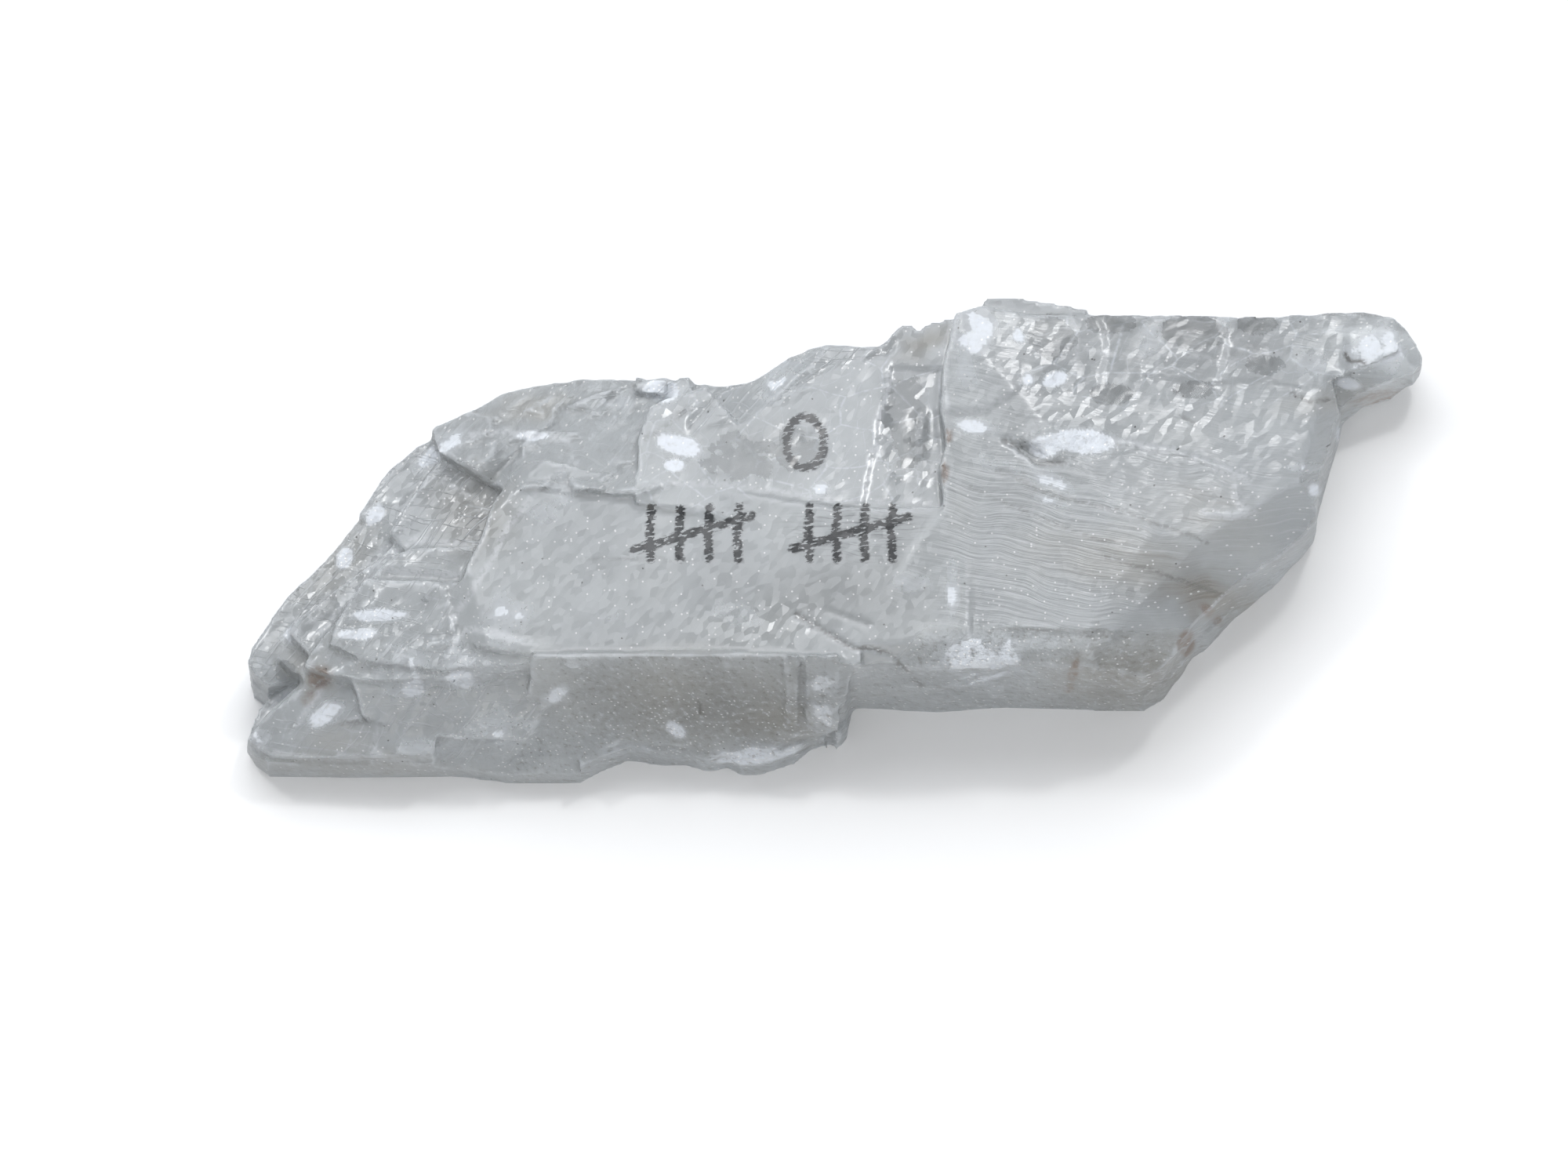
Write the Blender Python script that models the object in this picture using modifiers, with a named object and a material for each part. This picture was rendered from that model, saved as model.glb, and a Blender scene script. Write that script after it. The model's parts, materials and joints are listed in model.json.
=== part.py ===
"""A selenite crystal: one cloudy slab of gypsum, cleaved into stepped plates.

It lies on its flat underside, with its long side along X and its thick, broken front
towards -Y. Plan points and heights are in millimetres; the objects are in metres.
"""
import math

import bmesh
import bpy
import numpy as np
from mathutils import Euler, Matrix, Vector

MM = 0.001

# Driving heights above the resting face
SLAB_TOP = 25.0
BLOCK_TOP = 25.9
FOOT_TOP = 7.5
TIP_TOP = 12.5

# Fineness of the finished solid
VOXEL = 0.7
TRIANGLES = 8800
WELD = 0.01
UNDERSIDE = 0.35

CRYSTAL_COLOUR = (0.40, 0.42, 0.43, 1.0)
CRYSTAL_ROUGHNESS = 0.35
CRYSTAL_IOR = 1.52

# The foot: the whole outline on the table, from the left tip round the front, with the
# ragged lip of the thick front and the straight break of the right block
FOOT = [
    (-88.5, -16.0), (-89.5, -18.5), (-89.0, -20.5), (-86.5, -22.5), (-88.0, -24.5), (-89.8, -29.5),
    (-88.5, -31.5), (-86.5, -33.0), (-74.5, -33.3), (-58.5, -33.0), (-48.5, -34.3), (-39.0, -34.0),
    (-36.0, -32.3), (-31.7, -30.5), (-26.5, -31.4), (-23.0, -31.3), (-19.5, -32.3), (-16.5, -31.7),
    (-14.5, -32.9), (-12.0, -32.9), (-6.5, -31.0), (-4.0, -28.9), (-1.3, -27.9), (0.5, -28.4),
    (1.5, -27.0), (2.5, -22.0), (15.0, -22.8), (25.5, -22.0), (39.5, -22.5), (47.0, -22.5),
    (50.0, -20.7), (54.5, -14.0), (56.5, -12.8), (61.0, -7.7), (68.0, -2.4), (71.5, 1.0),
    (73.3, 3.8), (74.0, 9.0), (76.0, 16.3), (77.3, 21.0), (77.0, 33.0), (68.0, 36.6),
    (56.0, 34.0), (50.0, 36.8), (34.0, 36.4), (30.0, 33.0), (19.0, 33.5), (8.0, 30.5),
    (2.0, 31.5), (-7.0, 29.0), (-13.0, 25.5), (-27.0, 27.0), (-38.0, 26.5), (-46.0, 24.0),
    (-54.5, 19.7), (-63.0, 14.4), (-67.3, 11.0), (-72.0, 4.0), (-77.0, -3.3), (-83.0, -9.0),
    (-86.8, -13.5),
]

# The stepped plates, lowest first
LOWER_TIP = [
    (-80.1, -19.7), (-86.1, -25.5), (-89.5, -29.6), (-88.0, -31.3), (-86.0, -32.4), (-74.5, -32.7),
    (-60.0, -32.5), (-44.0, -28.0), (-50.0, -16.0), (-70.0, -18.0),
]
UPPER_TIP = [
    (-89.0, -16.0), (-89.7, -18.5), (-88.7, -20.3), (-86.5, -22.0), (-80.0, -19.5), (-70.0, -19.0),
    (-55.0, 0.0), (-57.0, 18.0), (-63.9, 15.2), (-68.1, 11.6), (-72.8, 4.6), (-77.9, -2.7),
    (-83.9, -8.4), (-87.8, -14.0),
]
OUTER_TERRACE = [
    (-65.9, 0.1), (-70.3, -3.9), (-76.3, -8.5), (-79.4, -10.6), (-82.7, -13.1), (-83.3, -14.8),
    (-80.4, -17.8), (-74.0, -19.0), (-52.0, -14.0), (-52.0, 4.0), (-60.0, 9.0),
]
RECESS_FLOOR = [
    (-68.2, 0.5), (-62.5, 9.5), (-60.5, 12.5), (-50.0, 15.0), (-42.0, 13.0), (-46.0, -3.0),
    (-56.0, -4.0), (-65.5, -3.0),
]
LEFT_TERRACE = [
    (-69.0, -5.3), (-67.4, -3.9), (-64.6, -2.8), (-54.5, -2.9), (-48.0, -4.0), (-46.0, -22.0),
    (-58.0, -23.5), (-70.0, -23.0), (-76.7, -21.7), (-80.7, -20.5), (-80.7, -19.3), (-73.6, -10.4),
]
INNER_TERRACE = [
    (-71.6, -7.6), (-57.4, -8.8), (-48.0, -9.5), (-46.0, -22.0), (-60.0, -22.5), (-71.0, -20.5),
    (-77.0, -17.5), (-76.0, -14.0),
]
BACK_SHOULDER = [
    (-60.5, 12.5), (-61.8, 17.2), (-54.8, 20.9), (-51.2, 23.7), (-46.8, 25.0), (-38.8, 26.2),
    (-33.0, 26.0), (-26.0, 26.6), (-22.6, 25.4), (-17.8, 24.8), (-12.4, 25.6), (-10.0, 14.0),
    (-30.0, 4.0), (-50.0, 6.0),
]
LABEL_SLAB = [
    (-30.4, 4.9), (-35.0, 7.6), (-41.5, 9.7), (-46.0, 10.5), (-49.1, 8.6), (-52.2, 3.4),
    (-54.0, -2.2), (-55.9, -5.9), (-58.4, -12.8), (-58.4, -16.5), (-54.0, -19.5), (-46.0, -21.0),
    (-40.0, -22.8), (-34.0, -21.4), (-20.0, -21.8), (-8.0, -22.2), (2.5, -23.0), (20.0, -20.0),
    (20.0, 2.2), (7.0, 1.9), (0.0, 2.3), (-8.0, 3.5), (-15.4, 4.6), (-23.4, 5.0),
]
LEFT_APRON = [
    (-74.0, -20.5), (-72.0, -27.0), (-68.0, -31.0), (-58.0, -32.6), (-52.0, -33.3), (-48.8, -32.7),
    (-45.0, -28.4), (-41.2, -24.4), (-40.5, -20.0), (-52.0, -17.0), (-60.0, -18.0),
]
FRONT_APRON = [
    (-46.0, -21.0), (-48.0, -32.5), (-42.0, -32.6), (-36.5, -31.6), (-31.7, -29.8), (-26.0, -30.6),
    (-19.5, -31.4), (-12.0, -31.8), (-6.5, -30.0), (-3.0, -27.8), (1.2, -26.2), (2.6, -21.8),
    (-20.0, -21.2),
]
WINDOW_PLATE = [
    (-30.5, 3.0), (-30.4, 13.2), (-28.5, 18.9), (-22.0, 21.5), (-12.4, 24.5), (-7.6, 28.0),
    (-3.5, 29.4), (6.2, 29.2), (8.0, 30.4), (18.0, 31.5), (20.0, 0.0), (0.0, -2.0),
]
RIGHT_BLOCK = [
    (2.8, -22.1), (15.0, -22.9), (25.5, -22.1), (39.5, -22.5), (46.6, -22.4), (49.6, -20.6),
    (54.3, -13.9), (60.8, -7.6), (67.8, -2.3), (71.3, 1.0), (73.1, 3.8), (73.7, 9.0),
    (75.9, 16.3), (77.3, 21.0), (78.0, 34.6), (68.2, 35.2), (53.1, 34.7), (43.2, 33.9),
    (31.0, 33.2), (22.3, 34.5), (18.2, 32.5), (16.6, 24.8), (16.0, 18.3), (16.8, 11.8),
    (15.9, 8.5), (16.4, 1.8), (12.0, -4.0),
]
BACK_SLIVER = [
    (20.0, 30.0), (21.6, 34.9), (23.2, 36.9), (27.5, 36.8), (31.4, 35.9), (38.0, 34.6), (38.0, 30.0),
]
CORNER_SPLINTER = [
    (8.0, 26.0), (8.0, 30.4), (9.3, 32.4), (11.2, 32.8), (12.3, 31.7), (14.2, 33.0), (18.5, 34.0),
    (19.0, 26.0),
]
NOSE = [
    (70.0, 21.0), (77.0, 22.5), (80.7, 25.4), (86.5, 27.4), (88.6, 27.9), (89.8, 29.8),
    (90.0, 31.4), (88.9, 33.2), (87.4, 34.9), (85.0, 36.4), (80.0, 36.6), (68.2, 35.4),
]

# Each plate: outline, underside, and top as (height, at x, at y, rise along x, rise along y)
PLATES = {
    "foot": (FOOT, 0.0, (FOOT_TOP, -30.0, -30.0, 0.0, 0.0)),
    "lower_tip": (LOWER_TIP, 1.0, (9.3, -80.0, -32.0, 0.10, 0.34)),
    "upper_tip": (UPPER_TIP, 1.0, (TIP_TOP, -85.0, -17.0, 0.10, 0.02)),
    "outer_terrace": (OUTER_TERRACE, 2.0, (15.6, -80.0, -14.0, 0.11, 0.02)),
    "recess_floor": (RECESS_FLOOR, 2.0, (18.4, -60.0, 5.0, 0.05, -0.06)),
    "left_terrace": (LEFT_TERRACE, 2.0, (19.6, -68.0, -6.0, 0.16, 0.10)),
    "inner_terrace": (INNER_TERRACE, 2.0, (20.7, -68.0, -8.0, 0.16, 0.10)),
    "back_shoulder": (BACK_SHOULDER, 2.0, (21.6, -35.0, 12.0, 0.03, -0.50)),
    "left_apron": (LEFT_APRON, 2.0, (20.6, -58.0, -19.5, 0.12, 0.80)),
    "front_apron": (FRONT_APRON, 2.0, (SLAB_TOP, -20.0, -21.6, 0.02, 1.70)),
    "label_slab": (LABEL_SLAB, 2.0, (SLAB_TOP, 0.0, -8.0, 0.024, 0.0)),
    "window_plate": (WINDOW_PLATE, 2.0, (SLAB_TOP - 1.2, 0.0, 2.0, -0.05, -0.08)),
    "right_block": (RIGHT_BLOCK, 1.0, (BLOCK_TOP, 16.0, 6.0, -0.01, 0.04)),
    "back_sliver": (BACK_SLIVER, 2.0, (22.5, 30.0, 34.0, 0.0, 0.0)),
    "corner_splinter": (CORNER_SPLINTER, 2.0, (21.5, 12.0, 31.0, 0.0, 0.0)),
    "nose": (NOSE, 3.0, (16.2, 78.0, 31.0, -0.12, 0.0)),
}

# The fluted splinter at the inner corner of the front: ribs that run down the broken slope
RIB_PLACES = (-6.9, -3.7, -0.7)
RIB_WIDTH = 1.9
RIB_FRONT = -29.0
RIB_BACK = -21.6
RIB_PROUD = 2.2

# Small upright slivers and lumps: middle x, y, length, width, underside, top, turn in degrees
SLIVERS = {
    "white_lump": (-27.0, 22.6, 13.0, 8.0, 3.0, 17.6, 12.0),
    "lump_crest": (-28.4, 23.6, 6.0, 4.4, 3.0, 19.0, -8.0),
    "shoulder_ledge": (-43.5, 15.0, 9.5, 4.0, 3.0, 20.2, -4.0),
    "shoulder_block": (-36.0, 20.6, 12.0, 8.0, 3.0, 17.6, 20.0),
    "shoulder_knob": (-53.5, 16.5, 8.0, 5.5, 3.0, 16.8, 38.0),
    "crust_ridge": (35.0, 12.6, 14.0, 2.6, 20.0, 27.2, -9.0),
    "ridge_tail": (47.5, 10.4, 11.0, 1.6, 18.0, 26.4, -12.0),
    "back_ledge": (58.0, 32.0, 26.0, 6.0, 2.0, 11.0, 2.0),
    "back_step": (-2.0, 27.6, 16.0, 6.0, 2.0, 11.5, 5.0),
    "left_back_step": (-48.0, 21.0, 15.0, 6.0, 2.0, 9.0, 26.0),
}
SLIVER_LEAN = 0.22

# Broken faces: middle of the face x, y, z, the way it looks (degrees, 0 = +X, 90 = +Y),
# its dip from level, and its width, its length down the dip and the depth that it takes off
BREAKS = {
    "left_lip": (-50.0, -31.8, 7.6, 268.0, 52.0, 22.0, 8.0, 8.0),
    "slab_left": (-56.6, -11.5, 22.6, 195.0, 32.0, 20.0, 5.0, 5.0),
    "slab_corner": (-50.0, 7.0, 22.2, 140.0, 38.0, 12.0, 7.0, 6.0),
    "back_slope": (-10.0, 24.5, 20.6, 128.0, 32.0, 18.0, 9.0, 8.0),
    "front_bevel": (26.0, -20.6, 24.5, 270.0, 32.0, 45.0, 5.5, 5.0),
    "front_chip": (46.0, -20.0, 21.0, 292.0, 46.0, 14.0, 12.0, 9.0),
    "window_fall": (60.0, 28.0, 19.9, 30.0, 11.3, 80.0, 72.0, 12.0),
    "fan_fall": (64.0, -1.0, 21.9, 322.0, 15.0, 80.0, 42.0, 12.0),
    "fan_edge": (62.0, -3.2, 19.0, 318.0, 40.0, 60.0, 14.0, 14.0),
    "far_end": (75.4, 14.0, 15.0, 352.0, 50.0, 24.0, 13.0, 10.0),
    "nose_tip": (88.6, 31.8, 12.0, 5.0, 44.0, 16.0, 8.0, 8.0),
    "nose_front": (84.5, 27.9, 12.6, 288.0, 40.0, 18.0, 6.0, 8.0),
    "nose_under": (87.0, 30.0, 3.8, 335.0, 128.0, 20.0, 7.0, 8.0),
    "tip_bevel": (-85.3, -25.6, 10.8, 140.0, 52.0, 12.0, 4.0, 6.0),
    "outer_bevel": (-81.6, -5.4, 12.8, 135.0, 50.0, 26.0, 4.0, 6.0),
    "under_back": (20.0, 34.4, 3.0, 90.0, 122.0, 84.0, 10.0, 10.0),
    "under_left": (-74.0, 3.2, 2.8, 138.0, 125.0, 40.0, 9.0, 8.0),
    "under_shoulder": (-36.0, 26.4, 3.0, 92.0, 128.0, 40.0, 9.0, 8.0),
    "under_right": (66.0, -3.7, 2.0, 318.0, 118.0, 34.0, 6.0, 6.0),
}

# Dark hollows and cracks: middle x, y, z, length, width, depth, turn in degrees
HOLLOWS = {
    "crust_hollow": (29.6, 11.2, 26.0, 6.0, 1.8, 1.6, -30.0),
    "shoulder_crack": (-24.6, 17.6, 19.2, 9.0, 1.4, 3.0, 28.0),
    "slab_crack": (2.0, -15.6, 25.4, 12.0, 0.9, 1.6, -20.0),
    "lip_notch": (-0.6, -29.2, 6.0, 2.0, 4.0, 5.0, 20.0),
}

# Ground where the surface is coarse or granular: middle x, y, reach along x and y
COARSE_GROUND = [
    (-20.0, -28.0, 26.0, 7.0),
    (-50.0, -28.0, 16.0, 9.0),
    (25.0, -23.0, 32.0, 4.5),
    (-38.0, 20.0, 26.0, 8.0),
    (36.0, 12.0, 12.0, 4.0),
    (76.0, 22.0, 9.0, 9.0),
    (-64.0, 2.0, 12.0, 12.0),
    (62.0, -4.0, 16.0, 8.0),
]


def clear_scene():
    for thing in list(bpy.data.objects):
        bpy.data.objects.remove(thing, do_unlink=True)


def new_collection(name):
    group = bpy.data.collections.new(name)
    bpy.context.scene.collection.children.link(group)
    return group


def solid_from_outline(name, points, low, high):
    """A flat 2D curve with filled faces, raised to a closed prism and made a welded mesh."""
    curve = bpy.data.curves.new(name, "CURVE")
    curve.dimensions = "2D"
    curve.fill_mode = "BOTH"
    curve.extrude = (high - low) / 2 * MM
    edge = curve.splines.new("POLY")
    edge.points.add(len(points) - 1)
    edge.use_cyclic_u = True
    for spot, (x, y) in zip(edge.points, points):
        spot.co = (x * MM, y * MM, 0.0, 1.0)
    outline = bpy.data.objects.new(name + "_outline", curve)
    bpy.context.scene.collection.objects.link(outline)
    bpy.context.view_layer.update()
    drawn = outline.evaluated_get(bpy.context.evaluated_depsgraph_get())
    mesh = bpy.data.meshes.new_from_object(drawn)
    bpy.data.objects.remove(outline)
    mesh.transform(Matrix.Translation((0.0, 0.0, (high + low) / 2 * MM)))
    work = bmesh.new()
    work.from_mesh(mesh)
    bmesh.ops.remove_doubles(work, verts=work.verts, dist=WELD * MM)
    bmesh.ops.recalc_face_normals(work, faces=work.faces)
    work.to_mesh(mesh)
    work.free()
    return mesh


def keep_as_tool(name, mesh, group):
    """A solid that is only joined to, or cut from, the crystal."""
    tool = bpy.data.objects.new(name, mesh)
    tool.hide_render = True
    tool.display_type = "WIRE"
    group.objects.link(tool)
    return tool


def add_plate(name, outline, low, top, group):
    """One cleavage plate: its outline raised to a tilted top."""
    height, at_x, at_y, along_x, along_y = top
    mesh = solid_from_outline(name, outline, low, height)
    for corner in mesh.vertices:
        if corner.co.z > (low + height) / 2 * MM:
            x = corner.co.x / MM
            y = corner.co.y / MM
            corner.co.z = (height + along_x * (x - at_x) + along_y * (y - at_y)) * MM
    return keep_as_tool("plate_" + name, mesh, group)


def add_rib(number, x, group):
    """One flute of the splinter, a little proud of the slope behind it."""
    half = RIB_WIDTH / 2
    outline = [(x - half, RIB_FRONT), (x + half, RIB_FRONT), (x + half, RIB_BACK), (x - half, RIB_BACK)]
    top = (SLAB_TOP + RIB_PROUD, x, RIB_BACK, 0.1 * (number - 1), 1.75)
    return add_plate("rib_%d" % number, outline, 2.0, top, group)


def add_sliver(name, x, y, length, width, low, top, turn, group):
    """An upright splinter, narrower and leaning at its top."""
    work = bmesh.new()
    bmesh.ops.create_cube(work, size=1.0)
    for corner in work.verts:
        if corner.co.z > 0:
            corner.co.x *= 1.0 - SLIVER_LEAN
            corner.co.y *= 1.0 - 2.0 * SLIVER_LEAN
            corner.co.z -= SLIVER_LEAN * corner.co.x
    size = Vector((length * MM, width * MM, (top - low) * MM))
    bmesh.ops.scale(work, vec=size, verts=work.verts)
    mesh = bpy.data.meshes.new(name)
    work.to_mesh(mesh)
    work.free()
    sliver = keep_as_tool("sliver_" + name, mesh, group)
    sliver.location = (x * MM, y * MM, (low + top) / 2 * MM)
    sliver.rotation_euler = (0.0, 0.0, math.radians(turn))
    return sliver


def add_break(name, x, y, z, looks, dip, width, length, depth, group):
    """A block to take off, whose inner face is the broken face that it leaves."""
    work = bmesh.new()
    bmesh.ops.create_cube(work, size=1.0)
    bmesh.ops.translate(work, vec=(0.0, 0.0, 0.5), verts=work.verts)
    bmesh.ops.scale(work, vec=(length * MM, width * MM, depth * MM), verts=work.verts)
    mesh = bpy.data.meshes.new(name)
    work.to_mesh(mesh)
    work.free()
    block = keep_as_tool("break_" + name, mesh, group)
    block.location = (x * MM, y * MM, z * MM)
    block.rotation_euler = Euler((0.0, math.radians(dip), math.radians(looks)))
    return block


def add_hollow(name, x, y, z, length, width, depth, turn, group):
    """A boat-shaped pit or crack, sunk to half its own height."""
    work = bmesh.new()
    bmesh.ops.create_uvsphere(work, u_segments=12, v_segments=6, radius=0.5)
    bmesh.ops.scale(work, vec=(length * MM, width * MM, 2.0 * depth * MM), verts=work.verts)
    mesh = bpy.data.meshes.new(name)
    work.to_mesh(mesh)
    work.free()
    pit = keep_as_tool("hollow_" + name, mesh, group)
    pit.location = (x * MM, y * MM, z * MM)
    pit.rotation_euler = (0.0, 0.0, math.radians(turn))
    return pit


def combine(target, operation, group):
    step = target.modifiers.new(operation.lower(), "BOOLEAN")
    step.operation = operation
    step.operand_type = "COLLECTION"
    step.collection = group
    step.solver = "EXACT"
    return step


def made_mesh(thing):
    """The object's mesh with all its modifiers worked in."""
    bpy.context.view_layer.update()
    drawn = thing.evaluated_get(bpy.context.evaluated_depsgraph_get())
    return bpy.data.meshes.new_from_object(drawn)


def rough_out(plates, breaks):
    """Joins the plates, takes off the broken faces, and gives the block an even skin."""
    block = plates.objects["plate_foot"].copy()
    block.data = block.data.copy()
    block.name = "block"
    plates.objects.unlink(plates.objects["plate_foot"])
    bpy.context.scene.collection.objects.link(block)
    combine(block, "UNION", plates)
    combine(block, "DIFFERENCE", breaks)
    skin = block.modifiers.new("skin", "REMESH")
    skin.mode = "VOXEL"
    skin.voxel_size = VOXEL * MM
    mesh = made_mesh(block)
    bpy.data.objects.remove(block)
    return mesh


def near_spots(x, y, spots):
    """1 in the middle of any of the spots, falling to 0 at their reach."""
    best = np.zeros_like(x)
    for at_x, at_y, reach_x, reach_y in spots:
        away = np.hypot((x - at_x) / reach_x, (y - at_y) / reach_y)
        best = np.maximum(best, np.clip(1.6 * (1.0 - away), 0.0, 1.0))
    return best


def mark_grounds(crystal):
    """Vertex groups for the kinds of ground: coarse, walls, and the skin above the table."""
    mesh = crystal.data
    places = np.array([v.co for v in mesh.vertices]) / MM
    normals = np.array([v.normal for v in mesh.vertices])
    x, y, z = places.T
    upright = 1.0 - np.abs(normals[:, 2])
    above = np.clip((z - 0.6) / 2.0, 0.0, 1.0)
    coarse = near_spots(x, y, COARSE_GROUND)
    weights = {
        "coarse": above * coarse,
        "walls": above * np.clip(upright * 1.4 - 0.3, 0.0, 1.0),
        "skin": above,
    }
    for name, values in weights.items():
        group = crystal.vertex_groups.new(name=name)
        for index, value in enumerate(values):
            if value > 0.01:
                group.add([index], float(value), "REPLACE")


def add_relief(crystal, name, ground, kind, size, strength, stretch, turn):
    """Raises and sinks the surface by a procedural pattern, stretched as the grain runs."""
    pattern = bpy.data.textures.new(name, kind)
    pattern.noise_scale = size
    if kind == "VORONOI":
        pattern.distance_metric = "DISTANCE"
        pattern.weight_1 = -1.0
        pattern.weight_2 = 1.0
    if kind == "CLOUDS":
        pattern.noise_depth = 3
    grain = bpy.data.objects.new(name + "_grain", None)
    bpy.context.scene.collection.objects.link(grain)
    grain.scale = [factor * MM for factor in stretch]
    grain.rotation_euler = [math.radians(angle) for angle in turn]
    relief = crystal.modifiers.new(name, "DISPLACE")
    relief.texture = pattern
    relief.texture_coords = "OBJECT"
    relief.texture_coords_object = grain
    relief.vertex_group = ground
    relief.strength = strength * MM
    relief.mid_level = 0.5
    return relief


def lay_flat(crystal):
    """Cuts the underside off level, which leaves the resting face."""
    bounds = np.array([v.co for v in crystal.data.vertices])
    spread = 2.0 * (bounds.max(axis=0) - bounds.min(axis=0))
    work = bmesh.new()
    bmesh.ops.create_cube(work, size=1.0)
    bmesh.ops.translate(work, vec=(0.0, 0.0, -0.5), verts=work.verts)
    bmesh.ops.scale(work, vec=spread, verts=work.verts)
    bmesh.ops.translate(work, vec=(0.0, 0.0, UNDERSIDE * MM), verts=work.verts)
    mesh = bpy.data.meshes.new("table")
    work.to_mesh(mesh)
    work.free()
    table = keep_as_tool("table_cut", mesh, bpy.data.collections["cutters"])
    step = crystal.modifiers.new("underside", "BOOLEAN")
    step.operation = "DIFFERENCE"
    step.object = table
    step.solver = "EXACT"


def centre_on_table(mesh):
    """Moves the crystal so that its origin is the middle of its underside."""
    places = np.array([v.co for v in mesh.vertices])
    low = places.min(axis=0)
    high = places.max(axis=0)
    middle = (low + high) / 2
    mesh.transform(Matrix.Translation((-middle[0], -middle[1], -low[2])))


def crystal_material():
    material = bpy.data.materials.new("cloudy_selenite")
    material.use_nodes = True
    shader = material.node_tree.nodes["Principled BSDF"]
    shader.inputs["Base Color"].default_value = CRYSTAL_COLOUR
    shader.inputs["Roughness"].default_value = CRYSTAL_ROUGHNESS
    shader.inputs["Metallic"].default_value = 0.0
    shader.inputs["IOR"].default_value = CRYSTAL_IOR
    return material


def build_crystal():
    clear_scene()
    home = new_collection("selenite_crystal")
    plates = new_collection("plates")
    breaks = new_collection("breaks")
    cutters = new_collection("cutters")
    for name, (outline, low, top) in PLATES.items():
        add_plate(name, outline, low, top, plates)
    for number, x in enumerate(RIB_PLACES):
        add_rib(number, x, plates)
    for name, values in SLIVERS.items():
        add_sliver(name, *values, plates)
    for name, values in BREAKS.items():
        add_break(name, *values, breaks)
    for name, values in HOLLOWS.items():
        add_hollow(name, *values, breaks)

    rough = bpy.data.objects.new("rough", rough_out(plates, breaks))
    cutters.objects.link(rough)
    mark_grounds(rough)
    add_relief(rough, "undulation", "skin", "CLOUDS", 1.0, 0.9, (13.0, 13.0, 13.0), (0, 0, 0))
    add_relief(rough, "broken_grain", "coarse", "VORONOI", 1.0, 2.0, (5.0, 3.4, 3.4), (0, 0, 40))
    add_relief(rough, "laminae", "walls", "CLOUDS", 1.0, 1.6, (14.0, 14.0, 1.5), (0, 4, 0))
    thin = rough.modifiers.new("thin", "DECIMATE")
    faces = len(rough.data.polygons) * 2
    thin.ratio = TRIANGLES / faces
    lay_flat(rough)

    mesh = made_mesh(rough)
    bpy.data.objects.remove(rough)
    centre_on_table(mesh)
    mesh.name = "crystal"
    mesh.materials.clear()
    mesh.materials.append(crystal_material())
    crystal = bpy.data.objects.new("crystal", mesh)
    home.objects.link(crystal)
    return crystal


build_crystal()
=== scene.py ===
import json
import math

import bpy
import numpy as np
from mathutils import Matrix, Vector

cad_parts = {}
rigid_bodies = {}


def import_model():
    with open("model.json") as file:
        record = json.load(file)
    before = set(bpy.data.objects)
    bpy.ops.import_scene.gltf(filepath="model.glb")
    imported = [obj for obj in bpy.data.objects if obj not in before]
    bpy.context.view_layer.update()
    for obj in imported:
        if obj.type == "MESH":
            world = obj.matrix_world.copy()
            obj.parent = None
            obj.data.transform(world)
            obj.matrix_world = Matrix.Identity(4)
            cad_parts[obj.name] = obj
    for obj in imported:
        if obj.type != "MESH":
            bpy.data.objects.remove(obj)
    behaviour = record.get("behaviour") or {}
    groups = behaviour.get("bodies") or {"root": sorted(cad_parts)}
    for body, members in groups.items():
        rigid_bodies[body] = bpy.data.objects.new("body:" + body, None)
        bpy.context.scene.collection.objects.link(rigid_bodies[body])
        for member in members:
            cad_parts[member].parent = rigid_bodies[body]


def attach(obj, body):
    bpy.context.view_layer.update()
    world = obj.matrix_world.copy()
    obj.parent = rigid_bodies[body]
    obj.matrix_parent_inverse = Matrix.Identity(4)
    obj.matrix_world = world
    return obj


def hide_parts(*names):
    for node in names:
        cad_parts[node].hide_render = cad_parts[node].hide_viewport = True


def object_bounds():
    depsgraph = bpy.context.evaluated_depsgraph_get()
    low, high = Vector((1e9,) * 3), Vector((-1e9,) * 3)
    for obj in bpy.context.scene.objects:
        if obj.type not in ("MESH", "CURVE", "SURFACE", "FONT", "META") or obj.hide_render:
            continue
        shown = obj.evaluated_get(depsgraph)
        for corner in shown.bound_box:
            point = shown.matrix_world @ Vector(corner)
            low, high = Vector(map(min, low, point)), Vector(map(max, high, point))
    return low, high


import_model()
cad_low, cad_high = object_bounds()
MM = 0.001

# The viewpoint
# The photographer looks down on the crystal from its thick front, about 18 degrees off
# straight down, through a long lens. The crystal sits a little right of and above the middle.
VIEW_HEIGHT_ANGLE = 72.0
VIEW_DISTANCE = 1.992
LENS = 300.0
FRAME_WIDTH_PX = 2000.0
FRAME_HEIGHT_PX = 1500.0
SENSOR_WIDTH = 36.0
PHOTO_MIDDLE_PX = (1069.0, 681.5)

tilt = math.radians(VIEW_HEIGHT_ANGLE)
view_up = Vector((0.0, math.sin(tilt), math.cos(tilt)))
view_back = Vector((0.0, -math.cos(tilt), math.sin(tilt)))
px_per_metre = FRAME_WIDTH_PX * LENS / SENSOR_WIDTH / VIEW_DISTANCE
crystal_middle = (cad_low + cad_high) / 2
aim = crystal_middle.copy()
aim.x -= (PHOTO_MIDDLE_PX[0] - FRAME_WIDTH_PX / 2) / px_per_metre
aim -= view_up * ((FRAME_HEIGHT_PX / 2 - PHOTO_MIDDLE_PX[1]) / px_per_metre)

camera_data = bpy.data.cameras.new("camera")
camera_data.lens = LENS
camera_data.sensor_width = SENSOR_WIDTH
camera_data.clip_start = 0.01
camera = bpy.data.objects.new("camera", camera_data)
camera.location = aim + view_back * VIEW_DISTANCE
camera.rotation_euler = (-view_back).to_track_quat("-Z", "Y").to_euler()
bpy.context.scene.collection.objects.link(camera)
bpy.context.scene.camera = camera

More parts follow.
